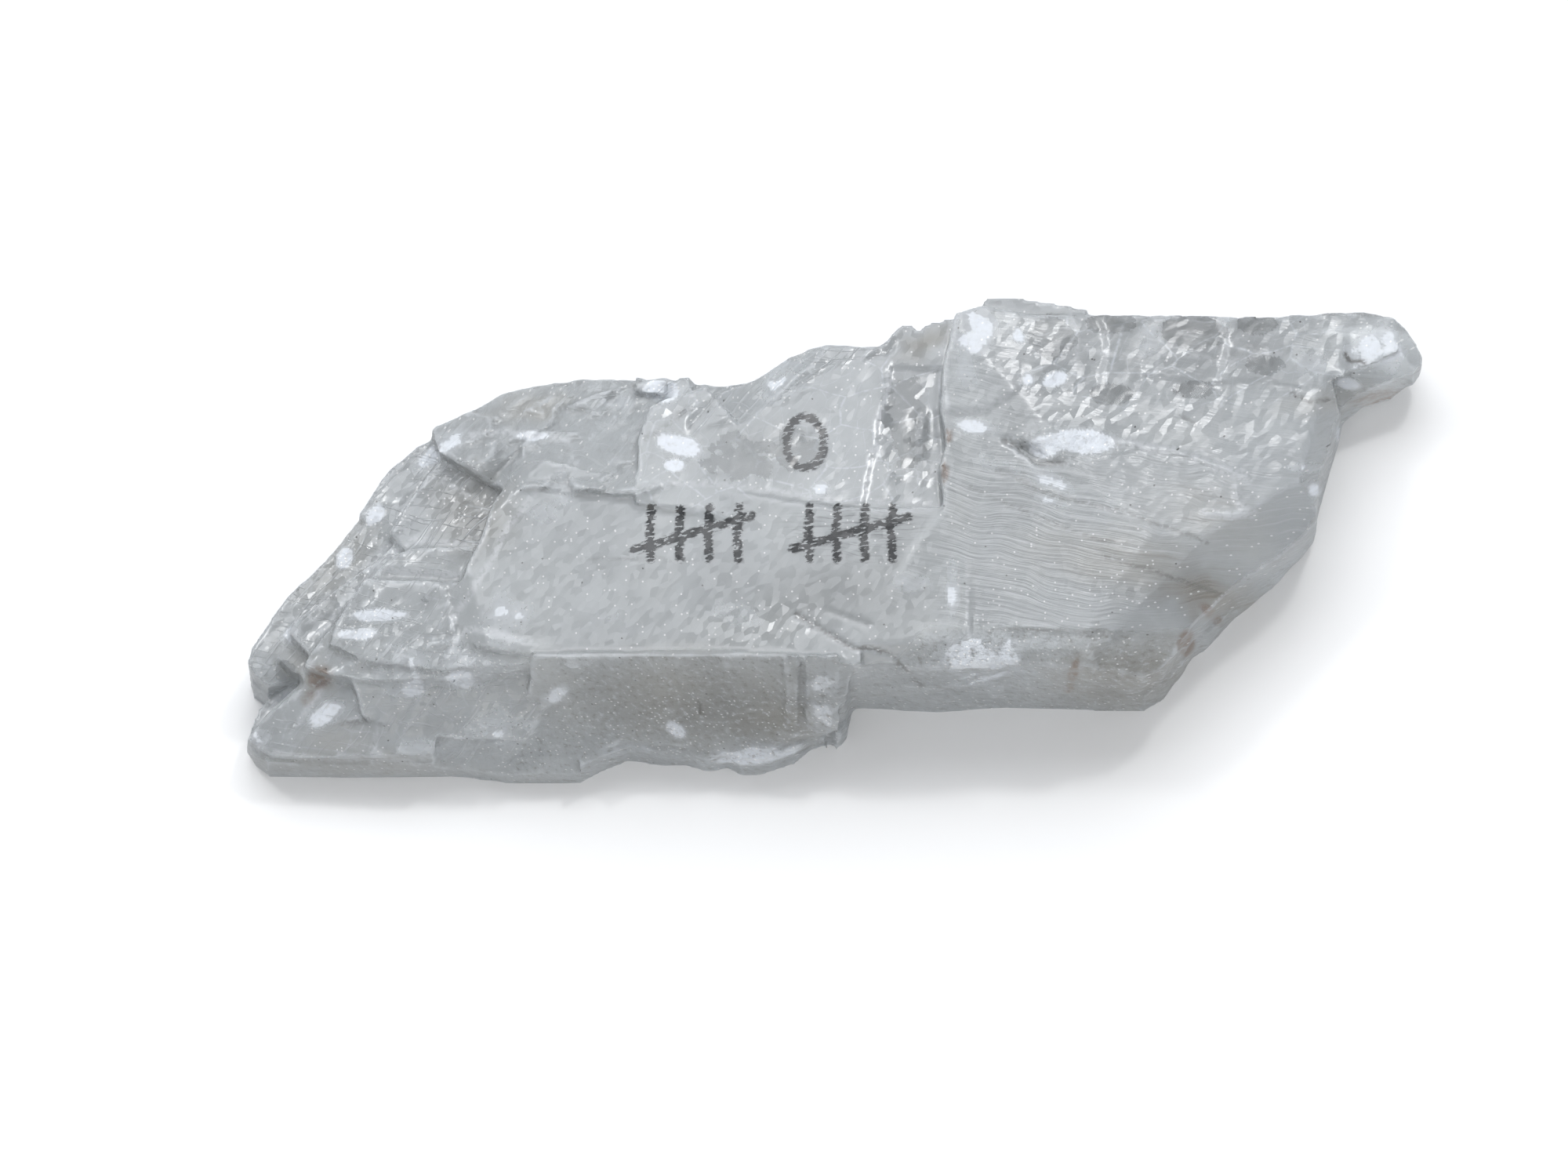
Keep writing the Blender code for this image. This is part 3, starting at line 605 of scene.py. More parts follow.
edge_ends = np.empty(len(crystal.data.edges) * 2, dtype=np.int64)
crystal.data.edges.foreach_get("vertices", edge_ends)
edge_ends = edge_ends.reshape(-1, 2)


def soften(values, times):
    """Each point's value averaged with its neighbours', a few times over."""
    tally = np.bincount(edge_ends.ravel(), minlength=len(values)) + 1.0
    for repeat in range(times):
        total = values.copy()
        for here, there in ((0, 1), (1, 0)):
            total += np.bincount(edge_ends[:, here], values[edge_ends[:, there]], len(values))
        values = total / tally
    return values


# The crystal: cleavage steps, ridges, cracks and broken ground
# The slab is a stack of thin leaves. Their edges show as low steps on the flats, as fine
# lines along the walls, and as crumbled ground where the crystal broke across the grain.
points = mesh_values("co") / MM
facing = mesh_values("normal")
spots = seen_places(points)
plan = points[:, :2] + CENTRED[:2]
wander = np.column_stack((
    swell(points, 3.0, 11, octaves=2),
    swell(points, 3.0, 21, octaves=2),
))
bent = spots + 0.18 * wander
rise = np.zeros(len(points))

owner = np.full(len(points), -1)
owner_height = np.full(len(points), -1.0)
for number, (outline, low, top) in enumerate(PLATES.values()):
    here = plane_height(plan[:, 0], plan[:, 1], top)
    over = (depth_inside(plan + 0.18 * wander, outline) > 0.0) & (here > owner_height)
    owner[over] = number
    owner_height[over] = here[over]


def ground(*names):
    """1 on the named plates, 0 off them, with a soft edge."""
    numbers = [list(PLATES).index(name) for name in names]
    return soften(np.isin(owner, numbers).astype(float), 2)


def zone(outline, soft=1.0):
    """1 inside a seen outline, 0 outside, with a soft edge."""
    return fade(depth_inside(bent, outline), -soft * 0.5, soft * 0.5)


recess = ground("recess_floor")
terraces = ground("lower_tip", "upper_tip", "outer_terrace", "left_terrace", "inner_terrace", "left_apron")
back_lumps = ground("back_shoulder")
plateau = ground("label_slab")
right_half = ground("right_block", "nose")
bright_slope = zone(BRIGHT_SLOPE)
glassy = ground("window_plate") * (1.0 - bright_slope)
windows = zone(WINDOWS, 4.0) * right_half
fan = zone(FAN, 6.0)
front_wall = zone(FRONT_WALL, 2.5)
front_fall = zone(FRONT_FALL, 2.5)
crumbled = np.maximum(front_wall, front_fall)

rise += recess * 0.26 * split_plates(bent, 15.0, 2.6, 31, 0.8)
rise += recess * 0.10 * streaks(spots, LONG_CLEAVAGE, 20.0, 1.2, 45)
rise += terraces * 0.22 * split_plates(bent, 11.0, 6.5, 51, 0.8)
rise += terraces * 0.10 * split_plates(bent, 5.0, 2.8, 61, 0.8)
rise += terraces * 0.07 * streaks(spots, LONG_CLEAVAGE, 14.0, 1.2, 65)
rise += back_lumps * 0.50 * split_plates(bent + wander, 7.0, 4.0, 71, 1.2)
rise += back_lumps * 0.28 * split_plates(bent + wander, 3.2, 1.8, 81, 1.0)
rise += bright_slope * 0.34 * streaks(spots, 52.0, 14.0, 1.4, 85)
rise += bright_slope * 0.30 * split_plates(bent, 8.0, 2.2, 91, 0.8)
rise += fan * 0.10 * streaks(spots, -12.0, 24.0, 1.5, 95)
rise += windows * 0.06 * split_plates(bent, 12.0, 8.0, 105, 1.0)
rise += glassy * 0.05 * split_plates(bent, 10.0, 6.0, 115, 1.0)
rise += 0.06 * swell(points, 14.0, 121, octaves=2)

# Low steps: path, height of the left side above the right, how far the step fades out
SCARPS = [
    ([(-71.5, -5.0), (-68.0, -4.5), (-62.5, -5.0), (-57.5, -5.5)], 0.4, 3.0),
    ([(-80.0, -18.5), (-83.0, -22.0), (-86.0, -25.0)], 0.5, 2.0),
    ([(-76.5, -20.0), (-79.5, -23.5), (-82.0, -27.5)], 0.6, 2.5),
    ([(-70.0, -28.0), (-70.5, -30.5), (-71.0, -33.5)], 0.6, 3.0),
    ([(-63.5, -23.0), (-65.5, -27.0), (-67.0, -31.5)], 0.5, 3.0),
    ([(-75.5, -28.0), (-72.0, -27.5), (-69.5, -28.0)], 0.6, 2.0),
    ([(-58.5, -16.0), (-56.5, -13.5), (-51.0, -14.5), (-46.5, -15.5)], -0.4, 4.0),
    ([(-39.0, -25.5), (-43.5, -29.0), (-47.5, -31.5), (-50.0, -33.0)], -0.9, 4.0),
    ([(8.0, 25.0), (7.5, 22.0), (6.0, 17.5), (6.0, 14.5), (5.0, 12.0), (4.0, 6.5)], -0.25, 3.0),
    ([(12.5, 19.0), (12.0, 14.5), (12.0, 9.0)], 0.25, 2.5),
    ([(16.5, 19.5), (21.5, 19.5), (24.5, 21.0), (26.0, 22.0)], 0.3, 3.0),
    ([(25.0, -13.5), (35.0, -14.0), (44.5, -14.0)], 0.4, 2.5),
    ([(48.0, 25.0), (56.0, 24.0), (64.0, 24.5), (70.0, 23.5)], 0.25, 4.0),
    ([(40.0, 34.0), (41.0, 29.0), (40.0, 25.0)], 0.2, 4.0),
    ([(58.0, 35.5), (59.5, 30.0), (58.5, 26.0)], 0.2, 4.0),
]
for path, height, reach in SCARPS:
    gap, side = path_gap(bent, path)
    rise += 0.5 * height * side * fade(gap, 0.0, 0.4) * fade(-gap, -reach, 0.0)

# Cracks and grooves, or ridges where the depth is below zero: path, half width, depth
GROOVES = [
    ([(-6.5, -11.5), (-3.5, -13.0), (0.0, -15.0), (2.0, -16.5), (5.0, -16.5), (8.5, -17.5),
      (9.5, -19.0), (12.0, -21.5), (13.0, -22.5)], 0.5, 0.35),
    ([(-39.0, -25.5), (-43.5, -29.0), (-47.5, -31.5), (-50.0, -33.0)], 0.8, 0.6),
    ([(77.5, 28.5), (78.0, 27.5), (80.5, 27.0)], 0.5, 0.4),
    ([(25.4, 15.2), (27.8, 13.9)], 0.8, 0.5),
    ([(27.8, 13.9), (30.5, 11.7), (34.0, 11.6)], 1.0, 0.6),
    ([(42.0, 15.0), (46.5, 14.0), (50.5, 13.5), (55.5, 12.0), (62.0, 9.5)], 0.7, -0.3),
    ([(60.5, 8.0), (61.0, 5.5), (63.0, 4.0), (55.5, 4.0)], 0.6, -0.2),
]
for path, half_width, depth in GROOVES:
    gap, side = path_gap(bent, path)
    rise -= depth * fade(-gap, -half_width, 0.0)

crust = touches(bent, [(36.6, 15.0, 7.0, 2.3, -5, 1.0), (31.2, 14.1, 3.4, 2.3, 0, 0.8)])
rise += crust * (0.20 + 0.25 * swell(points, 1.8, 131, octaves=2))

# Walls and broken ground: leaf edges, crumbs, and a ragged outline
walls = fade(-np.abs(facing[:, 2]), -0.80, -0.40)
leaves = swell(points + 0.6 * wander[:, :1], (40.0, 40.0, 2.2), 141, octaves=2) / 1.5
leaf_edges = walls * 0.22 * leaves
ragged_wall = walls * (0.16 * swell(points, 2.6, 161, octaves=2) + 0.25 * swell(points, (9.0, 9.0, 14.0), 165))
crumbs = crumbled * (0.26 * swell(points, 3.4, 171, octaves=2) + 0.10 * swell(points, 1.3, 175))
guard = fade(points[:, 2], 0.3, 1.4)
moved = points.copy()
moved[:, 2] += guard * np.clip(facing[:, 2], 0.0, 1.0) * rise
moved += (guard * (leaf_edges + ragged_wall + crumbs))[:, None] * facing

inset = 0.02
low = np.array(cad_low) / MM
high = np.array(cad_high) / MM
moved[:, :2] = np.clip(moved[:, :2], low[:2] + inset, high[:2] - inset)
moved[:, 2] = np.clip(moved[:, 2], 0.0, high[2] - inset)
crystal.data.vertices.foreach_set("co", (moved * MM).ravel())
crystal.data.update()
for face in crystal.data.polygons:
    face.use_smooth = True

# The crystal: where it is clear, frosted, stained, cracked and inked, and where shade, sheen and glints are
# painted on
# Each mark is kept on the mesh as one number a point, which the materials read.
points = mesh_values("co") / MM
facing = mesh_values("normal")
spots = seen_places(points)
bent = spots + 0.22 * wander
shown = fade(facing[:, 2], -0.2, 0.15)
haze = swell(points, 9.0, 201, octaves=4) / 1.9
ragged = swell(points, 3.2, 211, octaves=3) / 1.75
fine = swell(points, 1.2, 221, octaves=2) / 1.5

# Frost (some touches painted sheen and glints), clear ground, ground painted darker on the front faces as shade
# and paler on the bright back slope as sheen, brown tint, rust, and where painted glints gather, each a list of
# soft
# touches: right, up, half width, half height, turn, strength
# Frost: powdery white frost, except the broad touch on the plateau's upper left and the one on the bright back
# slope, which are painted bluish sheen, and the two small touches near the windows at the back of the right
# block, which are painted glints
FROST_AND_SHEEN = [
    (-44.6, 6.8, 6.5, 7.0, 40, 0.38), (-24.0, 14.4, 4.6, 1.9, -20, 0.85), (-24.9, 11.3, 1.8, 1.1, 0, 0.9),
    (20.5, 31.5, 4.6, 4.6, -40, 0.62), (19.5, 26.5, 2.6, 4.0, 0, 0.45), (27.5, 30.9, 1.1, 1.8, 15, 0.8),
    (33.2, 24.4, 2.4, 1.4, 20, 0.9), (28.8, 24.3, 1.2, 1.4, 0, 0.7), (20.5, 17.2, 4.4, 1.6, -8, 0.6),
    (36.6, 15.0, 6.4, 2.1, -4, 1.0), (31.2, 14.1, 3.0, 2.0, 0, 0.9), (31.7, 9.4, 4.6, 1.9, -25, 0.55),
    (24.0, 11.5, 6.0, 1.6, -18, 0.45), (31.7, 6.1, 4.2, 1.0, -15, 0.45), (83.1, 29.0, 5.6, 4.6, 0, 0.62),
    (78.5, 23.8, 2.6, 1.2, -10, 0.8), (47.7, 30.9, 2.4, 3.8, -15, 0.45), (58.6, 33.2, 2.4, 1.9, -30, 0.5),
    (43.4, 24.8, 2.1, 1.4, 0, 0.4), (17.3, -6.7, 1.3, 7.2, 0, 0.5), (11.5, -6.3, 3.6, 2.1, 0, 0.5),
    (22.2, -18.6, 9.6, 5.6, 0, 0.62), (32.0, -16.5, 9.0, 3.0, -2, 0.4), (-2.0, -24.6, 4.4, 6.4, 0, 0.55),
    (-13.0, -33.0, 9.6, 2.0, 6, 0.7), (-32.7, -32.0, 5.0, 1.7, 0, 0.55), (-24.6, -28.9, 1.9, 1.1, -35, 0.95),
    (-60.8, -19.3, 11.3, 5.0, -5, 0.50), (-57.4, -21.2, 4.2, 2.2, 0, 0.62), (-65.5, -22.6, 4.2, 2.0, 0, 0.6),
    (-77.9, -26.7, 3.4, 2.0, 30, 0.75), (-69.6, -11.5, 5.4, 1.2, 2, 0.8), (-72.5, -14.3, 4.0, 1.2, 0, 0.7),
    (-43.2, -23.9, 3.4, 1.6, 30, 0.6), (-51.2, -28.8, 7.6, 3.8, 0, 0.45), (-75.2, -2.8, 1.6, 2.4, -30, 0.85),
    (-87.6, -29.9, 1.8, 1.9, 0, 0.6), (-26.9, 22.8, 3.8, 2.3, 0, 0.8), (-33.3, 21.3, 4.8, 1.9, 0, 0.45),
    (-8.2, 24.9, 5.4, 3.6, 40, 0.5), (-2.7, 7.9, 1.5, 1.4, 0, 0.6), (72.7, 7.6, 1.6, 1.4, 0, 0.7),
    (70.5, 11.0, 3.0, 0.8, 0, 0.55), (76.5, 16.3, 1.3, 2.0, 30, 0.6), (68.2, -4.7, 3.2, 2.3, 30, 0.5),
    (72.0, 26.3, 3.8, 4.1, 0, 0.40), (-60.9, 13.6, 6.0, 1.9, 35, 0.62), (-70.5, 3.8, 2.3, 1.4, 60, 0.9),
    (-46.4, 15.8, 3.4, 1.0, 0, 0.8), (-36.0, -12.5, 9.0, 3.0, 0, 0.34), (-16.0, -11.0, 7.0, 2.6, -20, 0.34),
    (-50.0, -12.0, 6.0, 5.0, 30, 0.42), (-62.0, -31.5, 9.0, 2.0, 0, 0.45), (-83.0, -14.5, 2.4, 2.0, 40, 0.5),
]
CLEAR = [
    (32.7, 30.7, 4.6, 3.6, 0, 0.9), (41.4, 33.1, 4.2, 2.2, 0, 0.9), (54.4, 31.7, 5.4, 2.8, 0, 1.0),
    (64.1, 33.0, 3.6, 2.0, 0, 0.9), (65.3, 26.7, 3.6, 1.8, 0, 0.8), (54.1, 22.9, 3.6, 1.5, 0, 0.9),
    (41.3, 22.1, 4.2, 1.8, 0, 1.0), (-13.0, 13.0, 14.3, 6.0, 0, 0.6), (-0.5, -8.3, 14.9, 5.0, 0, 0.35),
    (-83.7, -20.5, 3.1, 2.1, -45, 0.8), (-62.0, -9.0, 3.5, 2.0, 40, 0.5), (10.5, 18.0, 4.4, 9.0, 4, 0.7),
]
# Tone: the darker touches on the thick front and the front wall are painted shade, the paler touch on the
# bright back slope is painted sheen, the rest is the stone's own tone
TONES_SHADE_AND_SHEEN = [
    (-0.5, -8.5, 17.0, 5.5, 0, -0.20), (10.9, 18.0, 5.4, 12.0, 3, -0.20), (-13.0, 14.0, 15.0, 7.0, 0, -0.08),
    (50.0, 30.0, 22.0, 6.0, 0, -0.12), (56.2, -8.5, 9.0, 4.5, -13, -0.28), (45.5, -6.0, 20.0, 5.5, -12, -0.14),
    (43.7, -21.0, 12.0, 6.0, 0, -0.30), (22.2, -20.0, 11.0, 6.0, 0, -0.16), (-21.0, -26.0, 24.0, 7.5, 0, -0.32),
    (-11.0, -27.5, 8.0, 3.5, 0, -0.10), (-56.0, 5.0, 9.0, 9.0, 40, -0.16), (-78.0, -12.0, 5.0, 9.0, -38, -0.12),
    (-74.0, -33.5, 16.0, 2.6, -3, -0.16), (-60.0, -18.0, 14.0, 6.0, 0, 0.08), (5.0, 1.5, 24.0, 5.0, 0, 0.05),
    (-8.2, 25.5, 6.5, 4.0, 40, 0.16), (-27.0, 22.5, 5.0, 3.0, 0, 0.18), (83.0, 29.0, 6.0, 5.0, 0, 0.14),
    (20.0, 28.0, 5.0, 8.0, 0, 0.06), (36.0, 15.0, 9.0, 4.0, 0, 0.10), (13.5, 29.5, 4.0, 2.4, 20, -0.22),
]
BROWN = [
    (-10.6, -27.3, 9.0, 3.6, 0, 0.8), (-22.6, -24.1, 22.0, 7.0, -4, 0.55), (-55.4, 4.0, 7.0, 7.0, 40, 0.6),
    (-47.0, 20.1, 7.5, 2.4, 12, 0.5), (-76.3, -4.0, 4.0, 8.0, -40, 0.35), (-75.8, -30.6, 7.0, 3.4, 0, 0.35),
    (-73.9, -34.1, 17.0, 2.4, -3, 0.45), (13.2, 29.7, 4.4, 2.4, 20, 0.7), (43.7, -20.6, 12.0, 6.0, 0, 0.75),
    (56.2, -8.5, 9.0, 3.0, -13, 0.9), (45.5, -3.8, 16.0, 5.0, -14, 0.45), (60.0, 2.0, 14.0, 6.0, -14, 0.25),
    (76.0, 21.5, 10.0, 2.4, 10, 0.4), (-81.0, -20.0, 6.0, 3.0, -45, 0.4),
]
RUST = [
    (-78.8, -20.9, 2.4, 2.2, 0, 0.75), (53.0, -15.9, 1.6, 2.2, 0, 1.0), (83.3, 21.9, 5.0, 1.2, 12, 0.8),
    (16.7, 15.7, 0.6, 1.6, 0, 0.9), (16.1, 10.3, 0.6, 1.9, 0, 0.9), (35.5, -20.5, 0.8, 3.2, -12, 1.0),
    (57.0, -11.5, 3.0, 1.0, -40, 0.6), (-80.5, -24.0, 1.2, 2.2, -40, 0.5), (45.0, -19.0, 5.0, 2.4, 0, 0.35),
]
# Where painted glints gather: these touches make the painted white specks denser and tilt the facets further
GLINTS = [
    (-74.0, -4.0, 4.0, 12.0, -40, 0.9), (-56.0, 8.0, 9.0, 8.0, 40, 0.6), (-8.2, 24.9, 6.5, 4.0, 40, 1.0),
    (-60.0, -19.0, 12.0, 6.0, 0, 0.8), (-63.4, 13.2, 6.0, 2.5, 40, 0.9), (33.0, 24.4, 3.6, 2.4, 0, 0.9),
    (8.0, 15.0, 1.4, 10.0, 4, 1.0), (-12.0, -13.0, 9.0, 3.5, 0, 0.6), (22.0, -19.0, 12.0, 6.0, 0, 0.8),
    (-15.0, -29.0, 22.0, 6.0, 0, 0.8), (-34.0, 22.0, 14.0, 4.0, 0, 0.7), (46.0, -8.5, 7.0, 2.0, -12, 0.5),
    (12.5, 14.5, 1.4, 7.0, 0, 0.7), (36.0, 15.0, 9.0, 4.0, 0, 0.5), (45.0, -20.0, 12.0, 5.0, 0, 0.5),
    (-52.0, -29.0, 10.0, 5.0, 0, 0.6), (-72.0, -14.0, 6.0, 4.0, 0, 0.6),
]

# Lines drawn along paths: path, half width, strength
DARK_PATHS = [
    ([(-6.5, -11.5), (-3.5, -13.0), (0.0, -15.0), (2.0, -16.5), (5.0, -16.5), (8.5, -17.5),
      (9.5, -19.0), (12.0, -21.5), (13.0, -22.5)], 0.26, 0.75),
    ([(25.0, -13.5), (35.0, -14.0), (44.5, -14.0)], 0.28, 0.5),
    ([(37.5, -14.5), (44.0, -15.0)], 0.25, 0.6),
    ([(-21.0, -24.5), (-21.1, -26.0)], 0.35, 1.0),
    ([(77.5, 28.5), (78.0, 27.5), (80.5, 27.0)], 0.30, 0.9),
    ([(52.0, 19.0), (54.0, 17.5)], 0.3, 0.7),
    ([(68.5, 35.0), (73.0, 35.0), (76.5, 34.9)], 0.40, 0.7),
    ([(78.5, 34.9), (84.5, 34.4)], 0.40, 0.6),
    ([(-39.0, -3.0), (-30.5, -3.0), (-21.0, -3.0)], 0.22, 0.28),
    ([(25.4, 15.2), (27.8, 13.9)], 0.50, 0.45),
    ([(28.5, 13.4), (30.5, 11.7), (34.0, 11.6)], 0.55, 0.5),
    ([(-22.5, 20.0), (-26.0, 17.5), (-29.0, 15.5)], 0.4, 0.5),
    ([(-75.5, -28.0), (-72.0, -27.5), (-69.5, -28.0)], 0.3, 0.5),
    ([(69.0, 22.5), (72.0, 21.0), (76.0, 21.5)], 0.35, 0.6),
    ([(24.0, 10.5), (33.0, 6.5), (44.0, 4.0), (56.0, -0.5)], 0.25, 0.45),
    ([(20.0, 8.0), (30.0, 3.5), (41.0, -0.5)], 0.22, 0.4),
    ([(40.0, -2.5), (50.0, -5.5), (60.0, -9.0)], 0.28, 0.5),
]
# Pale lines: some are real white ridges, others painted highlights along ledge edges that caught the light
PALE_AND_HIGHLIGHT_PATHS = [
    ([(8.0, 25.0), (7.5, 22.0), (6.0, 17.5), (6.0, 14.5), (5.0, 12.0), (4.0, 6.5)], 0.45, 1.0),
    ([(12.5, 19.0), (12.0, 14.5), (12.0, 9.0)], 0.35, 0.8),
    ([(-58.5, -16.0), (-56.5, -13.5), (-51.0, -14.5), (-46.5, -15.5)], 0.35, 0.8),
    ([(-71.5, -5.0), (-68.0, -4.5), (-62.5, -5.0), (-57.5, -5.5)], 0.45, 0.9),
    ([(-54.5, -0.5), (-60.5, -0.5), (-64.5, 0.0), (-69.0, -2.5), (-74.0, -8.5), (-79.0, -14.5)], 0.4, 0.7),
    ([(-66.0, 1.5), (-70.5, -3.0), (-76.5, -7.5), (-79.5, -9.5), (-82.5, -12.0)], 0.35, 0.7),
    ([(-80.0, -18.5), (-83.0, -22.0), (-86.0, -25.0)], 0.35, 0.8),
    ([(-76.5, -20.0), (-79.5, -23.5), (-82.0, -27.5)], 0.35, 0.8),
    ([(-56.0, 16.0), (-51.0, 16.5), (-46.5, 16.0), (-41.0, 15.0)], 0.4, 1.0),
    ([(16.5, 31.5), (16.0, 21.5), (16.5, 17.0), (17.0, 15.0), (16.0, 12.0), (16.0, 8.5)], 0.4, 0.6),
    ([(42.0, 15.0), (46.5, 14.0), (50.5, 13.5), (55.5, 12.0), (62.0, 9.5)], 0.7, 0.9),
    ([(60.5, 8.0), (61.0, 5.5), (63.0, 4.0), (55.5, 4.0)], 0.6, 0.7),
    ([(16.5, 19.5), (21.5, 19.5), (24.5, 21.0), (26.0, 22.0)], 0.4, 0.5),
    ([(-70.0, -28.0), (-70.5, -30.5), (-71.0, -33.5)], 0.35, 0.7),
    ([(-89.0, -31.5), (-81.5, -33.0), (-77.5, -33.5), (-70.5, -33.0), (-64.5, -34.0)], 0.4, 0.7),
    ([(-30.5, 8.3), (-23.5, 8.7), (-15.5, 8.2), (-8.0, 7.2), (0.0, 6.1), (7.0, 5.6), (14.0, 5.9)], 0.35, 0.45),
    ([(-39.4, 11.8), (-45.0, 8.5), (-50.0, 2.0), (-52.5, -3.0), (-56.0, -8.5), (-58.4, -12.0)], 0.45, 0.7),
    ([(35.5, 34.5), (36.5, 30.0), (36.0, 26.0)], 0.35, 0.6),
    ([(37.5, 29.0), (45.0, 28.0), (52.0, 28.5), (60.0, 27.5), (68.0, 28.5)], 0.35, 0.5),
    ([(48.5, 34.0), (49.5, 29.0), (48.0, 25.0)], 0.35, 0.5),
]


def along_paths(paths):
    """Strength, 0 to 1, of the lines drawn along paths."""
    total = np.zeros(len(points))
    for path, half_width, strength in paths:
        gap = path_gap(bent, path)[0]
        total = np.maximum(total, strength * np.clip(1.6 - gap / half_width, 0.0, 1.0))
    return total


def patchy(marks, haze_share=0.0):
    """Soft touches broken up by ragged noise, so that no patch has a plain round edge."""
    soft = touches(spots, marks)
    broken = soft + (0.34 * ragged + 0.14 * fine) * fade(soft, 0.0, 0.25) + haze_share * haze
    return fade(broken, 0.22, 0.78) * np.clip(0.35 + soft, 0.0, 1.0)


def summed(marks):
    """Very soft touches that add up, for broad changes of tone."""
    total = np.zeros(len(points))
    for mark in marks:
        total += np.sign(mark[5]) * touches(spots + 1.2 * wander, [mark[:5] + (abs(mark[5]),)], 0.0)
    return total


# Pen marks, half rubbed off: plain tally strokes and a ring, in place of any lettering
PEN_WIDTH = 0.62
TALLY_TOP = 4.9
TALLY_FOOT = -2.9
TALLY_PLACES = (-28.6, -24.2, -19.8, -15.4, -4.6, -0.4, 3.8, 8.0)
TALLY_BARS = [[(-31.0, -1.6), (-13.2, 3.6)], [(-7.0, -1.4), (10.6, 3.4)]]
RING_MIDDLE = (-5.0, 14.8)
RING_SIZE = (2.9, 3.9)
ring = [
    (RING_MIDDLE[0] + RING_SIZE[0] * math.cos(turn), RING_MIDDLE[1] + RING_SIZE[1] * math.sin(turn))
    for turn in np.linspace(0.0, 2.0 * math.pi, 17)
]
pen_paths = [ring] + TALLY_BARS
for stroke in TALLY_PLACES:
    pen_paths.append([(stroke + 0.3, TALLY_TOP), (stroke, 1.0), (stroke + 0.2, TALLY_FOOT)])
pen = np.full(len(points), -9.0)
for path in pen_paths:
    pen = np.maximum(pen, PEN_WIDTH - path_gap(spots, path)[0])
SMUDGE = [(3.0, 1.6, 10.0, 4.6, 0, 0.8), (-4.0, 5.6, 6.0, 0.7, -3, 0.6)]

softened = np.column_stack([soften(points[:, axis], 3) for axis in range(3)])
proud = np.einsum("ij,ij->i", points - softened, facing)
# Tone, with painted shade on the front faces and painted sheen on the bright back slope
tone_shade_and_sheen = 1.0 + summed(TONES_SHADE_AND_SHEEN) + 0.07 * haze + 0.05 * ragged
masks = {
    "tone_shade_and_sheen": np.clip(tone_shade_and_sheen, 0.35, 1.4),
    "brown": np.clip(touches(spots + wander, BROWN, 0.1) + 0.25 * haze, 0.0, 1.0),
    "cloud": np.clip(0.5 + 0.5 * haze, 0.0, 1.0),
    # Frost, with painted sheen and glint patches
    "frost_and_sheen": patchy(FROST_AND_SHEEN, 0.12) * shown,
    "clear": patchy(CLEAR) * shown,
    "rust": patchy(RUST) * shown,
    "glint": touches(spots, GLINTS) * shown,
    "dark_line": along_paths(DARK_PATHS) * shown * np.clip(0.75 + 0.6 * ragged, 0.0, 1.0),
    "pale_and_highlight_line": along_paths(PALE_AND_HIGHLIGHT_PATHS) * shown * np.clip(0.75 + 0.6 * ragged, 0.0, 1.0),
    "pen": np.where(facing[:, 2] > 0.5, pen, -9.0),
    "smudge": touches(spots, SMUDGE) * shown,
    "veined": np.clip(0.8 * glassy + windows + 0.35 * terraces, 0.0, 1.0),
    "scored": np.clip(recess + 0.55 * terraces + 0.6 * bright_slope + 0.4 * back_lumps, 0.0, 1.0),
    "fibrous": np.clip(fan + 0.4 * front_wall + 0.25 * right_half, 0.0, 1.0),
    "grainy": np.clip(crumbled + 0.7 * walls + 0.6 * crust + 0.3 * back_lumps, 0.0, 1.0),
    # Convexity: paler on convex arrises, painted shade in concave creases
    "arris_and_crease_shade": np.clip(proud / 0.16, -1.0, 1.0) * np.clip(0.7 + 0.5 * ragged, 0.0, 1.0),
}
for name, values in masks.items():
    layer = crystal.data.attributes.new(name, "FLOAT", "POINT")
    layer.data.foreach_set("value", values.astype(np.float32))

# Flat places for the fine patterns, in millimetres: they run on from the top down the walls
wrapped = np.column_stack((
    points[:, 0] + 0.6 * points[:, 2],
    points[:, 1] + 0.8 * points[:, 2],
    np.zeros(len(points)),
))
bend = 0.9 * np.column_stack((
    swell(points, 7.0, 231, octaves=2),
    swell(points, 7.0, 241, octaves=2),
    np.zeros(len(points)),
))
for name, places in (("wrapped", wrapped), ("bent_wrapped", wrapped + bend)):
    layer = crystal.data.attributes.new(name, "FLOAT_VECTOR", "POINT")
    layer.data.foreach_set("vector", places.astype(np.float32).ravel())
